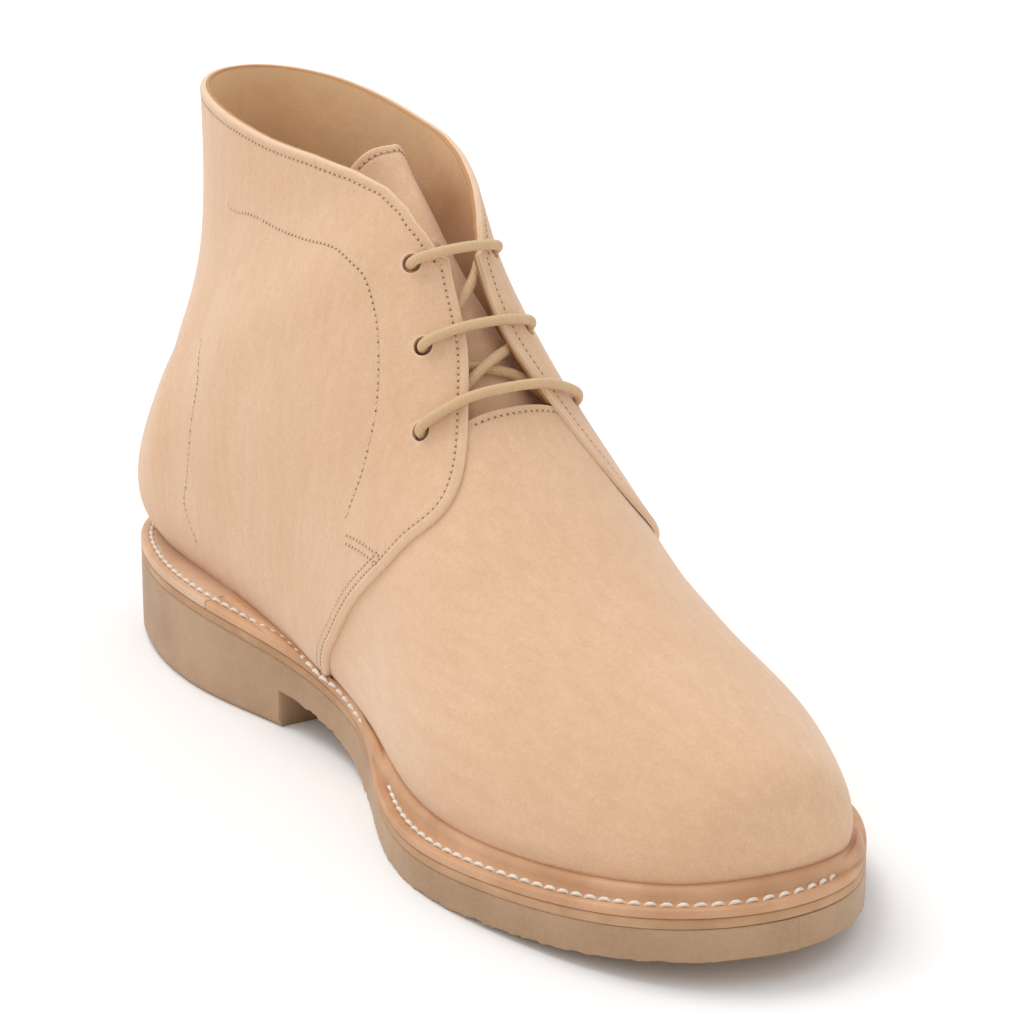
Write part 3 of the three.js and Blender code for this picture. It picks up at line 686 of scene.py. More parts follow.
vamp_places = respace(vamp_places, 0, to_edge)
vamp_base = last_point(*off_plane(vamp_places))
vamp_out = grid_normals(vamp_base)
if (vamp_out[-1, VAMP_COLUMNS // 2] @ last_normal(VAMP_END, 0.0)) < 0:
    vamp_out = -vamp_out
throat_points = vamp_base[-1]
from_throat = distance_to(vamp_base, throat_points, 8)
vamp_height = -rounded(from_throat, 0.7) - 0.15 * bell(from_throat, THROAT_ROW, 0.5) - crease(vamp_base)
vamp_outer = vamp_base + vamp_out * vamp_height[..., None]
vamp_inner = vamp_base - vamp_out * (VAMP_WALL - VAMP_BACK)
suede_vamp = suede("suede_vamp", (6, 1, 1))
vamp_faces = shell_faces(VAMP_ROWS, VAMP_COLUMNS)
vamp = add_mesh("vamp", np.concatenate([vamp_outer, vamp_inner]), vamp_faces, suede_vamp.material)
cut = 1 - ease(0.1, 0.8, from_throat)
set_worn(vamp, np.concatenate([cut, np.ones_like(cut)]))
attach(vamp, "root")
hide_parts("upper")

across_throat = np.radians(np.linspace(17, -17, 400))
throat_row = beside(in_plane(np.full(400, VAMP_END), across_throat), last_point(0.5, 0.0), THROAT_ROW)
sew("throat", [stitch_places(throat_row, -0.12, THREAD_PITCH)])

# Quarters: two pieces of suede, one for either side, that meet in a closed seam up the back of the heel.
# They lie over the vamp, end in front as the facings with three punched holes each, and are topstitched.
QUARTER_OUT = 1.6
QUARTER_IN = 1.0
QUARTER_ROWS = 108
QUARTER_COLUMNS = 180
EDGE_ROW = 2.5
SECOND_ROW = 4.6
EDGE_RADIUS = 0.9
HOLE_RADIUS = 2.5
HOLES = [(0.8, 16), (0.698, 20.5), (0.617, 32.5)]  # section, angle from the ridge
INNER_EDGE = np.array([
    [4, 0.96], [4.5, 0.85], [4.6, 0.78], [5, 0.73], [6.5, 0.68], [11, 0.632], [16, 0.594],
    [24, 0.553], [34, 0.535], [43, 0.538], [51, 0.546], [62, 0.556], [78, 0.576], [93, 0.588],
    [110, 0.592], [145, 0.592], [180, 0.592],
])
OUTER_EDGE = np.array([
    [4, 0.96], [4.5, 0.85], [4.6, 0.78], [5, 0.73], [7, 0.68], [12, 0.632], [18, 0.59],
    [28, 0.54], [37, 0.51], [46, 0.502], [55, 0.51], [66, 0.526], [80, 0.548], [95, 0.566],
    [112, 0.578], [145, 0.588], [180, 0.592],
])
COLLAR = np.array([
    [-20, 156.5], [18, 156], [40, 155], [60, 153.6], [80, 152.2], [98, 151.6], [112, 150],
    [122, 147.2], [130, 143], [136, 138], [141, 132.5], [170, 110], [205, 110],
])
# Row that holds the facing's stay inside. Columns: section, angle from the ridge.
STAY_ROW = np.array([
    [0.946, 102], [0.930, 86], [0.908, 69], [0.880, 52], [0.853, 39], [0.825, 32], [0.799, 29], [0.768, 29],
    [0.740, 31], [0.703, 36], [0.668, 43], [0.650, 49], [0.635, 56], [0.627, 63], [0.621, 71],
])
STAY_FOOT = np.array([[0.621, 71], [0.598, 67.5], [0.576, 64.5], [0.563, 62.6]])
STAY_GAP = 2.2
# Row up the back that holds the stiffener inside. Columns: section, angle from the ridge.
COUNTER_ROW = np.array([
    [0.735, 108], [0.750, 95], [0.772, 86], [0.795, 81], [0.817, 79], [0.840, 82], [0.861, 87],
])


def collar_at(x):
    return np.interp(x, COLLAR[:, 0], COLLAR[:, 1])


def smooth_line(table, count):
    """A smooth line of places through a table of sections and angles in degrees."""
    places = in_plane(table[:, 0], np.radians(table[:, 1]))
    at = along_line(places)
    fine = np.linspace(0, at[-1], count)
    return np.stack([curve(at, places[:, k])(fine) for k in (0, 1)], 1)


def edge_curve(table):
    """Section of a quarter's front edge at an angle in degrees, on a smooth line through its table."""
    at = along_line(in_plane(table[:, 1], np.radians(table[:, 0])))
    fine = np.linspace(0, at[-1], 6000)
    degrees = np.maximum.accumulate(curve(at, table[:, 0])(fine)) + fine * 1e-6
    s = curve(at, table[:, 1])(fine)
    return lambda angle: np.interp(angle, degrees, s)


def over(level, angle):
    """Height above a level z(x) of the places at these angles, as a function of their section."""
    def height(s):
        p = last_point(s, angle)
        return p[..., 2] - level(p[..., 0])
    return height


FOOT_RISE = 0.012  # how fast a quarter's foot may run back, in sections for a degree
CLOSE = np.array([0, 0.15, 0.35, 0.6, 0.9, 1.3, 1.7, 2.1, 2.5, 2.9, 3.4, 4.1])  # mm from an edge


def row_places(length):
    """Distances along a column of points, close together at both ends, where edges are rounded and sewn."""
    close = CLOSE * min(1, length / (3 * CLOSE[-1]))
    rest = np.linspace(close[-1], length - close[-1], QUARTER_ROWS - 2 * len(CLOSE) + 2)[1:-1]
    return np.concatenate([close, rest, length - close[::-1]])


def quarter_grid(edge_table):
    """Sections and angles of a quarter; a column runs from its front edge or its foot up to its top."""
    edge = edge_curve(edge_table)
    steep = np.linspace(edge_table[0, 0], 12, 4000, endpoint=False)
    angle = np.radians(np.concatenate([steep, np.linspace(12, 180, 6000)]))
    low = edge(np.degrees(angle))
    high = root(over(collar_at, angle), np.full(len(angle), 0.76), np.full(len(angle), 1.03))
    front = len(angle) - np.argmax((high - low < 0.001)[::-1])
    angle, low, high = angle[front:], low[front:], high[front:]
    sunk = over(hidden_level, angle)(low) < 0
    s = low + (0.95 - low) * np.linspace(0, 1, 240)[:, None]
    height = over(hidden_level, angle)(s)
    k, column = np.maximum(np.argmax(height > 0, axis=0), 1), np.arange(len(angle))
    before, after = height[k - 1, column], height[k, column]
    out_of_welt = s[k - 1, column] - (s[k, column] - s[k - 1, column]) * before / (after - before)
    rise = FOOT_RISE * np.degrees(angle)
    low = np.minimum.accumulate(np.where(sunk, out_of_welt, low) - rise) + rise
    travelled = along_line(last_point(low, angle))
    at = np.linspace(0, travelled[-1], QUARTER_COLUMNS)
    angle, low, high, sunk = [np.interp(at, travelled, v) for v in (angle, low, high, sunk)]
    s = low + (high - low) * np.linspace(0, 1, 400)[:, None]
    steps = np.linalg.norm(np.diff(last_point(s, angle + 0 * s), axis=0), axis=-1)
    travelled = np.concatenate([np.zeros((1, QUARTER_COLUMNS)), np.cumsum(steps, axis=0)])
    s = np.stack([np.interp(row_places(d[-1]), d, c) for d, c in zip(travelled.T, s.T)], 1)
    front = np.argmax(sunk > 0.5)
    rim = [(s[0, front::-1], angle[front::-1]), (s[:, 0], np.full(QUARTER_ROWS, angle[0])), (s[-1], angle)]
    return s, angle + 0 * s, [np.concatenate([r[k] for r in rim]) for k in (0, 1)]


def quarter_faces(side):
    """Faces of a quarter or its lining, turned about for the outer side of the foot."""
    faces = shell_faces(QUARTER_ROWS, QUARTER_COLUMNS)
    return faces if side > 0 else [face[::-1] for face in faces]


def make_quarter(name, side, edge_table):
    """One quarter with its stitches; side is 1 for the inner side of the foot and -1 for the outer."""
    s, angle, (rim_s, rim_angle) = quarter_grid(edge_table)
    angle = angle * side
    base, out = last_point(s, angle), last_normal(s, angle)
    rim_places = evenly(in_plane(rim_s, side * rim_angle), 1500)
    from_rim = distance_to(base, last_point(*off_plane(rim_places)), 9)
    from_seam = distance_to(base, base[:, -1], 9)
    mirror = np.array([1, side])
    body = last_point(0.8, side * 1.2)
    low_rim = rim_places[off_plane(rim_places)[0] < 0.60]
    low_rim = low_rim[np.abs(off_plane(low_rim)[1]) > math.radians(63)]
    stay_foot = smooth_line(STAY_FOOT, 120) * mirror
    rows = [
        beside(rim_places, body, EDGE_ROW), beside(low_rim, body, SECOND_ROW),
        smooth_line(STAY_ROW, 400) * mirror, stay_foot, smooth_line(COUNTER_ROW, 200) * mirror,
        beside(stay_foot, last_point(0.65, side * 1.6), STAY_GAP),
    ]
    sewn = np.concatenate([last_point(*off_plane(row)) for row in rows[1:]])
    from_rows = distance_to(base, sewn, 4)
    height = QUARTER_OUT - rounded(from_rim, EDGE_RADIUS)
    height += 0.12 * bell(from_rim, 1.3, 0.7) - 0.22 * bell(from_rim, EDGE_ROW, 0.5)
    height -= 0.12 * bell(from_rows, 0, 0.8) + 0.35 * bell(from_seam, 0, 0.7)
    height -= crease(base) * ease(3, 9, from_rim)
    outer = base + out * height[..., None]
    inner = base + out * 0.05
    points = np.concatenate([outer, inner])
    quarter = add_mesh(name, points, quarter_faces(side), suede_shaft.material)
    cut = 1 - ease(0.0, 0.9, from_rim)
    set_worn(quarter, np.concatenate([cut, np.ones_like(cut)]))
    rim_points = last_point(*off_plane(rim_places))

    def pushed(points):
        return crease(points) * ease(3, 9, distance_to(points, rim_points, 9))

    sew(name, [stitch_places(row, QUARTER_OUT - (0.2 if k == 0 else 0.1), THREAD_PITCH, pushed)
               for k, row in enumerate(rows)])
    return quarter, (s, angle, from_rim)


suede_shaft = suede("suede_shaft", (1, 1, 7))
quarter_inner, inner_places = make_quarter("quarter_inner", 1, INNER_EDGE)
quarter_outer, outer_places = make_quarter("quarter_outer", -1, OUTER_EDGE)
for quarter in (quarter_inner, quarter_outer):
    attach(quarter, "root")
    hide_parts("upper")

# Lining: soft undyed leather inside the vamp and the quarters, its darker cut edge showing at the facings.
# It is sewn in along the collar, joined up the back of the heel, and punched together with the suede.
LINING_RADIUS = 0.5
LINING_PALE = (0.900, 0.620, 0.360)
LINING_DEEP = (0.760, 0.470, 0.250)
LINING_EDGE = (0.520, 0.250, 0.095)
PUNCH_SIDES = 48
PUNCH_DEPTH = 6
PUNCH_BARE = (0.1, 0.7)  # how far round a hole the cut leather shows


def punched(piece, side):
    """Cuts the lace holes of one side through a piece and bares the leather round them."""
    turn = np.linspace(0, 2 * np.pi, PUNCH_SIDES, endpoint=False)
    points, faces = [], []
    holes = [(last_point(s, side * math.radians(degrees)), last_normal(s, side * math.radians(degrees)))
             for s, degrees in HOLES]
    for middle, normal in holes:
        across = unit(np.cross(normal, [0.0, 0.0, 1.0]))
        along = np.cross(normal, across)
        faces += tube_faces(2, PUNCH_SIDES, len(points))
        for depth in (-PUNCH_DEPTH, PUNCH_DEPTH):
            for w in turn:
                rim = (across * math.cos(w) + along * math.sin(w)) * HOLE_RADIUS
                points.append(middle + normal * depth + rim)
    cutter = add_mesh("punch", points, faces, piece.data.materials[0])
    cutting = piece.modifiers.new("holes", "BOOLEAN")
    cutting.operation, cutting.object, cutting.solver = "DIFFERENCE", cutter, "EXACT"
    done = piece.evaluated_get(bpy.context.evaluated_depsgraph_get())
    piece.data = bpy.data.meshes.new_from_object(done)
    piece.modifiers.clear()
    bpy.data.objects.remove(cutter)
    piece.data.set_sharp_from_angle(angle=math.radians(50))
    layer = piece.data.attributes.get("worn") or piece.data.attributes.new("worn", "FLOAT", "POINT")
    worn = np.zeros(len(piece.data.vertices), np.float32)
    layer.data.foreach_get("value", worn)
    places = np.zeros(len(worn) * 3, np.float32)
    piece.data.vertices.foreach_get("co", places)
    places = places.reshape(-1, 3) / MM + MIDDLE
    bare_from, bare_to = [HOLE_RADIUS + reach for reach in PUNCH_BARE]
    for middle, normal in holes:
        away = places - middle
        away -= (away @ normal)[:, None] * normal
        worn = np.maximum(worn, 1 - ease(bare_from, bare_to, np.linalg.norm(away, axis=1)))
    layer.data.foreach_set("value", worn.astype(np.float32))


def lining_finish(name):
    """Lining leather: even and warm, a little darker where it is cut."""
    finish = Finish(name, 0.62, sheen=0.1, specular=0.25)
    stains = finish.spread(finish.noise(28, 4), 0.35, 0.65)
    pores = finish.spread(finish.noise(0.8, 3), 0.35, 0.7)
    body = finish.mix(finish.times(stains, 0.55), LINING_PALE, LINING_DEEP)
    body = finish.mix(finish.times(pores, 0.2), body, LINING_DEEP)
    finish.colour(finish.mix(finish.attribute("worn"), body, LINING_EDGE))
    finish.bump(finish.noise(0.8, 3), 0.08)
    finish.bump(finish.noise(11, 2), 0.5)
    return finish


def line_quarter(name, side, places):
    """The lining of one quarter, from the vamp's end up to the collar."""
    s, angle, from_rim = places
    start = np.maximum(s[0], VAMP_END + 0.002)
    s = start + (s[-1] - start) * (s - s[0]) / (s[-1] - s[0])
    base, out = last_point(s, angle), last_normal(s, angle)
    from_seam = distance_to(base, base[:, -1], 9)
    inside = QUARTER_IN - rounded(from_rim, LINING_RADIUS) - 0.3 * bell(from_seam, 0, 0.7)
    inside += 0.5 * crease(base) * ease(3, 9, from_rim)
    points = np.concatenate([base - out * 0.02, base - out * inside[..., None]])
    piece = add_mesh(name, points, quarter_faces(side), lining_leather.material)
    cut = 1 - ease(0.25, 0.7, from_rim)
    set_worn(piece, np.concatenate([cut, cut]))
    return piece


lining_leather = lining_finish("lining_leather")
lining_inner = line_quarter("lining_inner", 1, inner_places)
lining_outer = line_quarter("lining_outer", -1, outer_places)
for piece, side in ((quarter_inner, 1), (lining_inner, 1), (quarter_outer, -1), (lining_outer, -1)):
    punched(piece, side)
vamp_lining_points = [vamp_base - vamp_out * depth for depth in (VAMP_WALL - VAMP_LINING, VAMP_WALL)]
vamp_lining = add_mesh(
    "vamp_lining", np.concatenate(vamp_lining_points), vamp_faces, lining_leather.material)
for lining in (lining_inner, lining_outer, vamp_lining):
    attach(lining, "root")
    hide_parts("upper")

# Tongue: suede backed with lining leather, held by the row of stitches under the throat of the vamp.
# Its arched top is free and topstitched.
TONGUE_START = 0.555
TONGUE_TOP = 0.985
TONGUE_ARCH = 0.1
TONGUE_ROWS = 120
TONGUE_COLUMNS = 84
TONGUE_SUEDE = 1.5
TONGUE_WALL = 2.6
TONGUE_ROW = 2.5
TONGUE_RADIUS = 0.8
TONGUE_ROW_START = 0.3  # part of the tongue's length where its stitches begin


def tongue_point(across, t, depth):
    """Point of the tongue: across from -1 to 1, t from its sewn end to its top, depth from its face."""
    top = TONGUE_TOP - TONGUE_ARCH * across**2
    s = TONGUE_START + (top - TONGUE_START) * t
    angle = across * np.radians(33 + 27 * ease(0.6, 0.9, s))
    sunk = VAMP_WALL + GAP + 0.15 + 4.2 * ease(0.572, 0.612, s) + depth
    lean = ease(0.68, 0.985, s)[..., None] * np.array([-17, 0, -3])
    return offset_point(s, angle, -sunk) + lean


def closing(count, close):
    """Places from -1 to 1 that lie closer together towards both ends."""
    t = np.linspace(-1, 1, count)
    return (1 - close) * t + close * np.sin(t * np.pi / 2)


tongue_across = np.tile(closing(TONGUE_COLUMNS, 0.8), (TONGUE_ROWS, 1))
tongue_t = np.tile(np.sin(np.linspace(0, np.pi / 2, TONGUE_ROWS))[:, None], (1, TONGUE_COLUMNS))
tongue_face = tongue_point(tongue_across, tongue_t, 0.0)
tongue_in = unit(tongue_point(tongue_across, tongue_t, 1.0) - tongue_face)
tongue_rim = np.concatenate([tongue_face[:, 0], tongue_face[-1], tongue_face[::-1, -1]])
from_tongue_rim = distance_to(tongue_face, tongue_rim, 8)
fall = rounded(from_tongue_rim, TONGUE_RADIUS)
fall_row = fall + 0.2 * bell(from_tongue_rim, TONGUE_ROW, 0.5) - 0.1 * bell(from_tongue_rim, 1.3, 0.7)
suede_tongue = suede("suede_tongue", (1, 1, 6))
tongue_faces = [face[::-1] for face in shell_faces(TONGUE_ROWS, TONGUE_COLUMNS)]
suede_back, lining_front = [np.full_like(fall, TONGUE_SUEDE + gap) for gap in (0, 0.04)]
for name, outside, inside, finish, slot in (
    ("suede_tongue", fall_row, suede_back, suede_tongue, "suede"),
    ("tongue_lining", lining_front, TONGUE_WALL - 0.6 * fall, lining_leather, "lining"),
):
    points = np.concatenate([tongue_face + tongue_in * d[..., None] for d in (outside, inside)])
    piece = add_mesh(name, points, tongue_faces, finish.material)
    cut = 1 - ease(0.0, 0.8, from_tongue_rim)
    set_worn(piece, np.concatenate([cut, cut]))
    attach(piece, "root")
    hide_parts("tongue")


def tongue_span(first, last):
    """Distance between two places of the tongue's face, each given by its across and t."""
    first, last = [tongue_point(*np.array(place, float), 0.0) for place in (first, last)]
    return np.linalg.norm(last - first)


def tongue_edge_row(inset):
    """A line on the tongue's face at a distance in from its sides and its top."""
    half = tongue_span((-1, 0.8), (1, 0.8)) / 2
    length = 2 * tongue_span((0, 0.5), (0, 1))
    side, end = 1 - inset / half, 1 - inset / length
    count = 300
    up = np.linspace(TONGUE_ROW_START, end, count)
    over_top = np.linspace(-side, side, count)[1:-1]
    across = np.concatenate([np.full(count, -side), over_top, np.full(count, side)])
    t = np.concatenate([up, np.full(len(over_top), end), up[::-1]])
    line = tongue_point(across, t, 0.1)
    return smoothed(line, 14), unit(line - tongue_point(across, t, 1.1))


sew("tongue", [space_row(*tongue_edge_row(TONGUE_ROW), THREAD_PITCH)])

# Welt: strips of smooth tan leather sewn to the upper and through the sole with thick white thread.
# The forefoot strip is raised into a bead against the upper; the rear strip is flat and butts against it.
RING = 1100
WELT_JOINT = 78
BEAD_HEIGHT = 3.4
BEAD_LOW = 0.9
BEAD_FADE = (125, 165)
BEAD_MIDDLE = 2.0
BEAD_HALF = 2.25
BEAD_SHOULDER = 0.82  # how high the bead's inner side stays, as part of its height
EDGE_ROUNDING = [(0.3, -0.06), (0.12, -0.22), (0.03, -0.5), (0.0, -0.9)]  # in from the edge, down
SEAM_INSET = 3.0
SEAM_GROOVE = 0.45
SEAM_PITCH = 4.0
SEAM_RADIUS = 0.55
WELT_SAMPLES = 46
WELT_PALE = (0.680, 0.400, 0.235)
WELT_DEEP = (0.500, 0.260, 0.130)
REAR_PALE = (0.720, 0.490, 0.335)
REAR_DEEP = (0.590, 0.370, 0.230)
SEAM_WHITE = (0.860, 0.800, 0.720)
SEAM_SHADE = (0.700, 0.600, 0.480)


def welt_seat():
    """The line where the welt's top meets the upper, seen from above."""
    s, angles = foot_line(welt_top, 0.0, 900)
    lines = []
    for angle, table in zip(angles, (INNER_EDGE, OUTER_EDGE)):
        edge = edge_curve(table)(np.degrees(np.abs(angle)))
        out = 0.1 + QUARTER_OUT * ease(-0.012, 0.004, s - edge)
        lines.append(offset_point(s, angle, out)[:, :2])
    return np.vstack([lines[0][::-1], lines[1][1:-1]])


def widths(points, outwards, seat):
    """How far in from each outline point the seat lies, along the way in."""
    ends = np.roll(seat, -1, axis=0)
    found = []
    for p, out in zip(points, outwards):
        a, b = seat - p, ends - p
        side_a, side_b = a[:, 0] * out[1] - a[:, 1] * out[0], b[:, 0] * out[1] - b[:, 1] * out[0]
        crossing = side_a * side_b <= 0
        t = side_a / np.where(side_a == side_b, 1, side_a - side_b)
        depth = -((a + (b - a) * t[:, None]) @ out)
        near = crossing & (depth > 0) & (depth < 40)
        found.append(depth[near].min() if near.any() else 8.0)
    return np.array(found)


welt_points, welt_outwards = sole_outline(RING)
welt_widths = widths(welt_points, welt_outwards, welt_seat())


def welt_height(away, width, x):
    """Height over the strip's flat top, at a distance out from the upper."""
    raised = BEAD_LOW + (BEAD_HEIGHT - BEAD_LOW) * ease(*BEAD_FADE, x)
    raised = np.where(x > WELT_JOINT, raised, 0)
    across = np.abs((away - BEAD_MIDDLE) / BEAD_HALF)
    crown = np.clip(1 - across**2.4, 0, 1) ** 0.5
    shoulder = BEAD_SHOULDER - 0.25 * (BEAD_MIDDLE - away) ** 2 / 4
    crown = np.where(away < BEAD_MIDDLE, np.maximum(crown, shoulder), crown)
    groove = SEAM_GROOVE * bell(width - away, min(SEAM_INSET, width - 1.2), 0.75)
    return raised * crown - groove


def welt_ring(name, start, end, material):
    """The part of the welt between two distances from the heel, as a closed strip."""
    keep = (welt_points[:, 0] >= start) & (welt_points[:, 0] <= end)
    ring = np.flatnonzero(keep)
    breaks = np.flatnonzero(np.diff(ring) > 1)
    if len(breaks):
        ring = np.concatenate([ring[breaks[0] + 1:], ring[:breaks[0] + 1]])
    rows = []
    for j in ring:
        p, out, width = welt_points[j], welt_outwards[j], welt_widths[j]
        x = p[0]
        flat, low = float(welt_top(x)), float(welt_bottom(x)) + 0.05
        inner_part = np.linspace(0, min(4.5, width * 0.55), 22)
        outer_part = np.linspace(inner_part[-1], width - 0.5, WELT_SAMPLES - 22)[1:]
        away = np.concatenate([inner_part, outer_part])
        high = flat + welt_height(away, width, x)
        profile = [(width - a, z) for a, z in zip(away, high)]
        profile += [(inset, flat + drop) for inset, drop in EDGE_ROUNDING]
        profile += [(0.0, low + 0.5), (0.06, low + 0.18), (0.25, low), (width - 0.02, low)]
        rows.append([(*(p - out * inset), z) for inset, z in profile])
    return add_mesh(name, rows, tube_faces(len(rows), len(rows[0])), material)


welt_leather = tan_leather("welt_leather", WELT_PALE, WELT_DEEP, 0.5)
rear_leather = tan_leather("rear_welt_leather", REAR_PALE, REAR_DEEP, 0.55)
front_welt = welt_ring("storm_welt", WELT_JOINT + GAP / 2, 400, welt_leather.material)
rear_welt = welt_ring("rear_welt", -50, WELT_JOINT - GAP / 2, rear_leather.material)
for piece, node in ((front_welt, "welt_front"), (rear_welt, "welt_rear")):
    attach(piece, "root")
    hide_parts(node)

seam_white = Finish("white_welt_thread", 0.7, specular=0.3)
seam_twist = seam_white.spread(seam_white.noise(1.4, 3), 0.35, 0.75)
seam_white.colour(seam_white.mix(seam_twist, SEAM_WHITE, SEAM_SHADE))
seam_white.bump(seam_white.noise(0.35, 2), 0.1)
seam_inset = np.minimum(SEAM_INSET, welt_widths - 1.2)
seam_line = welt_points - welt_outwards * seam_inset[:, None]
seam_line = np.column_stack([seam_line, welt_top(welt_points[:, 0]) - SEAM_GROOVE + 0.25])
seam_line = np.vstack([seam_line, seam_line[:1]])
upwards = np.tile([0.0, 0.0, 1.0], (len(seam_line), 1))
middles, tangents, normals, pitch = space_row(seam_line, upwards, SEAM_PITCH)
slant = math.radians(9)
sideways = np.cross(normals, tangents)
slanted = unit(tangents * math.cos(slant) + sideways * math.sin(slant))
seam_points, seam_faces = threads([(middles, slanted, normals, pitch)], SEAM_RADIUS, 0.8, sides=10)
welt_seam = add_mesh("welt_stitches", seam_points, seam_faces, seam_white.material)
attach(welt_seam, "root")

# Midsole: a thin layer of sole leather between rubber and welt, its cut edge waxed and burnished.
# The welt stitches run down through it.
RING_INSET = 12
EDGE_PALE = (0.610, 0.370, 0.215)
EDGE_DEEP = (0.440, 0.240, 0.120)
EDGE_PROFILE = [(0.32, 0), (0.12, 0.12), (0.05, 0.3), (0.05, 0.7), (0.12, 0.88), (0.32, 1)]  # in, part up


def midsole_profile(x):
    """Distances in from the sole's outline, with heights, round the midsole's cut."""
    low = float(rubber_top(x)) + 0.05
    high = float(welt_bottom(x)) - 0.12
    wall = [(inset, low + (high - low) * part) for inset, part in EDGE_PROFILE]
    return wall + [(RING_INSET, high), (RING_INSET, low)]


def edge_leather(name, pale, deep):
    """Cut leather edge: fibres lying along it in fine layers, waxed."""
    finish = Finish(name, 0.55, specular=0.35)
    layers = finish.spread(finish.noise(1.6, 4, stretch=(9, 9, 0.35)), 0.3, 0.7)
    stains = finish.spread(finish.noise(15, 3), 0.35, 0.65)
    body = finish.mix(stains, pale, deep)
    finish.colour(finish.mix(finish.times(layers, 0.45), body, deep))
    finish.bump(finish.noise(0.9, 3, stretch=(8, 8, 0.4)), 0.12)
    finish.bump(finish.noise(5, 2), 0.15)
    return finish


midsole_edge = edge_leather("midsole_edge", EDGE_PALE, EDGE_DEEP)
midsole_rows = np.array([
    [(*(p - out * inset), z) for inset, z in midsole_profile(p[0])]
    for p, out in zip(welt_points, welt_outwards)])
per = midsole_rows.shape[1]
last_row = (RING - 1) * per
midsole_faces = grid_faces(RING, per, flip=True, closed=True)
midsole_faces += [[k, (k + 1) % per, last_row + (k + 1) % per, last_row + k] for k in range(per)]
midsole = add_mesh("leather_midsole", midsole_rows, midsole_faces, midsole_edge.material)
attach(midsole, "root")
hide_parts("midsole")

# Outsole: one moulded unit of pale gum rubber, heel and sole together, with smooth cloudy sides.
# It is cemented under the leather; its crumbly tread frays along the lower edge of waist and forefoot.
HEEL_BREAST = 108
ARCH_END = 156
ARCH_HEIGHT = 9.7
ARCH_CURVE = 1.7
RUBBER_STATIONS = 620
RUBBER_ACROSS = 30
HEEL_ROUNDING = 1.6
HEEL_INSET = 0.6  # part of the heel's rounding that goes inwards
TREAD_DEPTH = 1.2  # height of the frayed edge
TREAD_INSET = 0.8
TREAD_SUNK = 0.35  # unevenness of the tread's underside
CRUMB_FINE = 0.55
CRUMB_COARSE = 0.45
CRUMB_GAIN = 2.1
CRUMB_WHOLE = 0.35  # what is taken off, so that parts of the edge stay whole
TOP_RIM = 0.25
RUBBER_PALE = (0.470, 0.305, 0.185)
RUBBER_DEEP = (0.350, 0.215, 0.120)
RUBBER_WORN = (0.580, 0.390, 0.220)


def rubber_bottom(x):
    arch = ARCH_HEIGHT * (1 - np.clip((x - HEEL_BREAST) / (ARCH_END - HEEL_BREAST), 0, 1) ** ARCH_CURVE)
    return np.where(x <= HEEL_BREAST, 0, arch) + spring_at(x)


sole_line = sole_outline(6000)[0]
heel_end, toe_end = sole_line[:, 0].min(), sole_line[:, 0].max()


def sole_sides(x):
    """Where the sole's outline lies at distances x from the heel, on the inner and on the outer side."""
    points = np.roll(sole_line, -np.argmin(sole_line[:, 0]), axis=0)
    toe = np.argmax(points[:, 0])
    inner, outer = points[:toe + 1], points[toe:][::-1]
    x = np.clip(x, heel_end, toe_end)
    return [np.interp(x, np.maximum.accumulate(side[:, 0]), side[:, 1]) for side in (inner, outer)]


def rough(at, size, seed):
    """Uneven values between 0 and 1 along a line, a new one every size millimetres."""
    values = np.random.default_rng(seed).random(4000)
    return np.interp(at / size, np.arange(4000), values)


turn = np.linspace(0, np.pi, RUBBER_STATIONS)
stations = (heel_end + toe_end) / 2 - (toe_end - heel_end) / 2 * np.cos(turn)
breast = np.searchsorted(stations, HEEL_BREAST)
stations[breast - 2:breast + 2] = HEEL_BREAST - 0.5, HEEL_BREAST, HEEL_BREAST + 0.02, HEEL_BREAST + 0.5
side_rows = np.array([0, 0.04, 0.12, 0.25, 0.4, 0.55, 0.7, 0.82, 0.9, 0.96, 1.0])
inner_y, outer_y = sole_sides(stations)
travelled = stations + 500
sections = []
for x, y0, y1, at in zip(stations, inner_y, outer_y, travelled):
    top = float(rubber_top(x))
    low = float(rubber_bottom(np.array(x)))
    narrow = min(1.0, (y1 - y0) / 8)
    frayed = float(ease(HEEL_BREAST + 2, HEEL_BREAST + 14, x)) * narrow
    loop = []
    for side, y in ((0, y0), (1, y1)):
        bite = CRUMB_FINE * rough(at, 2.3, side) * rough(at, 0.9, side + 5)
        bite += CRUMB_COARSE * rough(at, 5.1, side + 9) ** 3
        lift = frayed * TREAD_DEPTH * max(0.0, bite * CRUMB_GAIN - CRUMB_WHOLE)
        inset = frayed * TREAD_INSET * rough(at, 1.4, side + 13)
        inset += (1 - frayed) * HEEL_ROUNDING * narrow * HEEL_INSET
        inwards = 1 if side == 0 else -1
        wall = []
        for part in side_rows:
            z = top + (low + lift * 0.4 - top) * part
            round_low = ease(0.86, 1.0, part) ** 2
            wall.append((x, y + inwards * (inset * round_low + TOP_RIM * narrow * bell(part, 0, 0.05)), z))
        loop.append(wall)
    across = np.linspace(0, 1, RUBBER_ACROSS)[1:-1]
    left, right = loop[0][-1], loop[1][-1]
    under = []
    for t in across:
        sunk = frayed * TREAD_SUNK * rough(at + 40 * t, 1.7, int(t * 97) + 20)
        under.append((x, left[1] + (right[1] - left[1]) * t, low + sunk))
    over_it = [(x, loop[1][0][1] + (loop[0][0][1] - loop[1][0][1]) * t, top) for t in across]
    sections.append(loop[0] + under + loop[1][::-1] + over_it)
rubber_faces = tube_faces(len(sections), len(sections[0]))

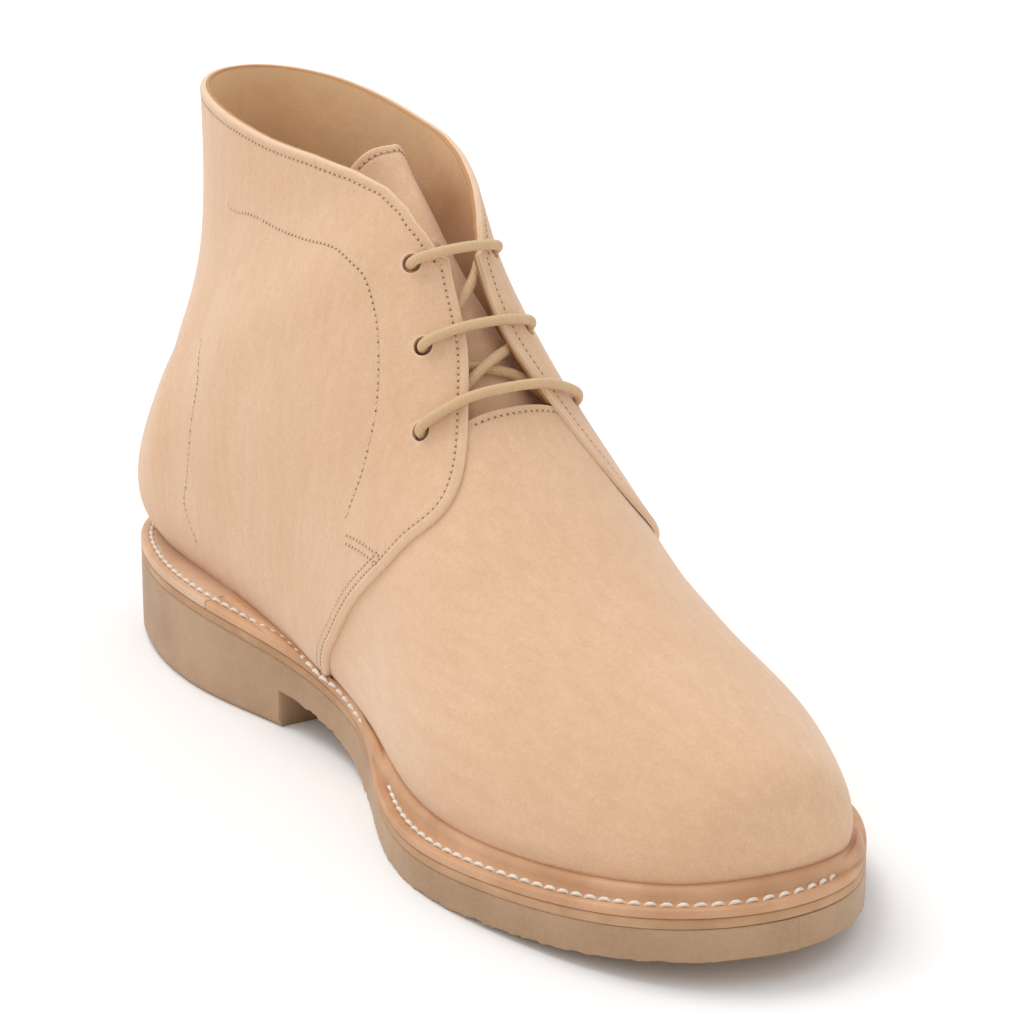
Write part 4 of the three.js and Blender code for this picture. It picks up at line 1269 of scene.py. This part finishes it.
gum_rubber = Finish("gum_rubber", 0.5, specular=0.35)
clouds = gum_rubber.spread(gum_rubber.noise(26, 4), 0.3, 0.7)
specks = gum_rubber.spread(gum_rubber.noise(1.1, 3), 0.42, 0.75)
body = gum_rubber.mix(clouds, RUBBER_PALE, RUBBER_DEEP)
gum_rubber.colour(gum_rubber.mix(gum_rubber.times(specks, 0.2), body, RUBBER_WORN))
gum_rubber.shader.inputs["Subsurface Weight"].default_value = 0.25
gum_rubber.shader.inputs["Subsurface Radius"].default_value = (0.004, 0.0022, 0.001)
gum_rubber.shader.inputs["Subsurface Scale"].default_value = 1.0
gum_rubber.bump(gum_rubber.noise(1.3, 3), 0.12)
gum_rubber.bump(gum_rubber.noise(14, 2), 0.3)
outsole = add_mesh("gum_outsole", sections, rubber_faces, gum_rubber.material)
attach(outsole, "root")
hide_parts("outsole")

# Lace: one thin round waxed cord, run through the six holes in three straight bars.
# Between the bars it crosses under the facings; both ends are tucked away inside the top holes.
LACE_RADIUS = 1.35
LACE_OVER = 3.45  # its middle over the last where it lies on the facing
LACE_UNDER = -3.15
LACE_STEP = 0.3
LACE_SIDES = 16
HOLE_SLACK = 0.4
HOLE_PULL = 0.45
BAR_PARTS = [0.6, 0.36, 0, -0.36, -0.6]
BAR_DIPS = [0.1, 0.2, 0.6]
LACE_PALE = (0.700, 0.480, 0.275)
LACE_DEEP = (0.500, 0.310, 0.160)


def turn_through(row, side, under, over_it):
    """The cord's half turn through a hole, from under the facing to over it."""
    s, degrees = HOLES[row]
    angle = side * math.radians(degrees)
    point, normal = last_point(s, angle), last_normal(s, angle)
    ways = [unit((target - point) - ((target - point) @ normal) * normal) for target in (under, over_it)]
    radius, middle = (LACE_OVER - LACE_UNDER) / 2, (LACE_OVER + LACE_UNDER) / 2
    half = radius * math.sqrt(0.5)
    bent = radius - half - HOLE_SLACK
    steps = [(0, radius, LACE_UNDER), (0, bent, middle - half), (1, -HOLE_PULL, middle),
             (1, bent, middle + half), (1, radius, LACE_OVER)]
    return [point + ways[k] * along + normal * up for k, along, up in steps]


def lace_bar(row):
    s, degrees = HOLES[row]
    lifts = [LACE_OVER - (BAR_DIPS[row] if part == 0 else 0) for part in BAR_PARTS]
    return [offset_point(s, math.radians(degrees * part), lift) for part, lift in zip(BAR_PARTS, lifts)]


def lace_inside(*places):
    """Points inside the boot: section, angle in degrees, depth under the last's surface."""
    return [offset_point(s, math.radians(degrees), -depth) for s, degrees, depth in places]


def spline(points, per):
    """Centripetal curve through the points."""
    p = np.array(points)
    p = np.vstack([2 * p[0] - p[1], p, 2 * p[-1] - p[-2]])
    out = []
    for a, b, c, d in zip(p, p[1:], p[2:], p[3:]):
        k0, k1, k2 = [np.linalg.norm(w - v) ** 0.5 for v, w in ((a, b), (b, c), (c, d))]
        from_b = ((b - a) / k0 - (c - a) / (k0 + k1) + (c - b) / k1) * k1
        to_c = ((c - b) / k1 - (d - b) / (k1 + k2) + (d - c) / k2) * k1
        t = np.linspace(0, 1, per, endpoint=False)[:, None]
        square, cube = 3 * (c - b) - 2 * from_b - to_c, 2 * (b - c) + from_b + to_c
        out.append(b + from_b * t + square * t**2 + cube * t**3)
    return np.vstack(out + [p[-2:-1]])


top_bar, middle_bar, low_bar = [lace_bar(row) for row in range(3)]
hidden_start = lace_inside((0.775, 25, 3.2), (0.74, 28, 3.2), (0.7, 28, 3.2), (0.675, 17, 3.4))
behind = lace_inside((0.656, 0, 4.9), (0.642, -13, 4))
front = lace_inside((0.637, 14, 3.1), (0.657, 0, 1.7), (0.676, -12, 3.1))
middle_front = lace_inside((0.72, 10, 3.1), (0.75, 0, 3.1), (0.775, -8, 3.1))
hidden_end = lace_inside((0.825, 7, 3.6))
lace_route = [
    *hidden_start, *behind,
    *turn_through(2, -1, behind[1], low_bar[4]), *low_bar[::-1],
    *turn_through(2, 1, front[0], low_bar[0])[::-1], *front,
    *turn_through(1, -1, front[2], middle_bar[4]), *middle_bar[::-1],
    *turn_through(1, 1, middle_front[0], middle_bar[0])[::-1], *middle_front,
    *turn_through(0, -1, middle_front[2], top_bar[4]), *top_bar[::-1],
    *turn_through(0, 1, hidden_end[0], top_bar[0])[::-1], *hidden_end,
]
lace_line = spline(lace_route, 40)
lace_length = along_line(lace_line)[-1]
lace_at = np.linspace(0, lace_length, round(lace_length / LACE_STEP))
lace_line = at_places(lace_at, along_line(lace_line), lace_line)
lace_way = unit(np.gradient(lace_line, axis=0))
lace_side = np.cross(lace_way[0], [0.0, 0.0, 1.0])
lace_turn = np.linspace(0, 2 * np.pi, LACE_SIDES, endpoint=False)
lace_rings = []
for middle, way in zip(lace_line, lace_way):
    lace_side = unit(lace_side - (lace_side @ way) * way)
    up = np.cross(way, lace_side)
    lace_rings.append([
        middle + (lace_side * math.cos(w) + up * math.sin(w)) * LACE_RADIUS for w in lace_turn])
lace_faces = tube_faces(len(lace_rings), LACE_SIDES)

cord = Finish("waxed_cord", 0.6, sheen=0.2, specular=0.3)
along_cord, around_cord = cord.attribute("along"), cord.attribute("around")


def strand(way):
    """Waves that wind round the cord one way."""
    turned = cord.node("ShaderNodeMath", operation="MULTIPLY_ADD")
    cord.link(around_cord, turned.inputs[0])
    turned.inputs[1].default_value = 6 * 2 * math.pi * way
    cord.link(cord.times(along_cord, 2 * math.pi / 1.5), turned.inputs[2])
    wave = cord.node("ShaderNodeMath", operation="SINE")
    cord.link(turned.outputs[0], wave.inputs[0])
    return wave.outputs[0]


plait = cord.spread(cord.times(strand(1), strand(-1)), -1, 1)
fibres = cord.spread(cord.noise(0.7, 3), 0.35, 0.7)
cord_body = cord.mix(cord.times(plait, 0.35), LACE_PALE, LACE_DEEP)
cord.colour(cord.mix(cord.times(fibres, 0.3), cord_body, LACE_DEEP))
cord.bump(plait, 0.12)
cord.bump(cord.noise(0.4, 2), 0.05)
lace = add_mesh("waxed_lace", lace_rings, lace_faces, cord.material)
lace_along = lace.data.attributes.new("along", "FLOAT", "POINT")
lace_along.data.foreach_set("value", np.repeat(lace_at, LACE_SIDES).astype(np.float32))
lace_around = lace.data.attributes.new("around", "FLOAT", "CORNER")
corners = np.zeros(len(lace.data.loops), np.float32)
k = np.arange(LACE_SIDES)
one_ring = np.stack([k, k + 1, k + 1, k], 1).ravel() / LACE_SIDES
corners[:one_ring.size * (len(lace_rings) - 1)] = np.tile(one_ring, len(lace_rings) - 1)
lace_around.data.foreach_set("value", corners)
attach(lace, "root")
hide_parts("lace")

# Floor and light: a white seamless ground under wide soft boxes, as in a studio.
# The key light hangs high behind the boot and a little left; the world fills in evenly.
FLOOR_SIZE = 12
FLOOR_COLOUR = (0.95, 0.95, 0.95)
FILL = 0.86
KEY_PLACE = Vector((-0.9, -0.5, 2.4))
KEY_AIM = Vector((0.0, 0.0, 0.05))
KEY_SIZE = 1.5
KEY_POWER = 26
floor_mesh = bpy.data.meshes.new("floor")
reach = FLOOR_SIZE / 2
floor_mesh.from_pydata(
    [(-reach, -reach, 0), (reach, -reach, 0), (reach, reach, 0), (-reach, reach, 0)], [], [(0, 1, 2, 3)])
floor = bpy.data.objects.new("floor", floor_mesh)
bpy.context.collection.objects.link(floor)
floor_finish = Finish("floor_paper", 0.9, specular=0.1)
floor_finish.colour(floor_finish.mix(floor_finish.noise(400), FLOOR_COLOUR, FLOOR_COLOUR))
floor_mesh.materials.append(floor_finish.material)

key_data = bpy.data.lights.new("key", "AREA")
key_data.shape, key_data.size, key_data.energy = "DISK", KEY_SIZE, KEY_POWER
key_light = bpy.data.objects.new("key", key_data)
key_light.location = KEY_PLACE
key_light.rotation_mode = "QUATERNION"
key_light.rotation_quaternion = (KEY_AIM - KEY_PLACE).to_track_quat("-Z", "Y")
bpy.context.collection.objects.link(key_light)

world = bpy.data.worlds.new("studio")
world.use_nodes = True
world.node_tree.nodes["Background"].inputs["Color"].default_value = (1, 1, 1, 1)
world.node_tree.nodes["Background"].inputs["Strength"].default_value = FILL
bpy.context.scene.world = world
bpy.context.scene.view_settings.view_transform = "Standard"
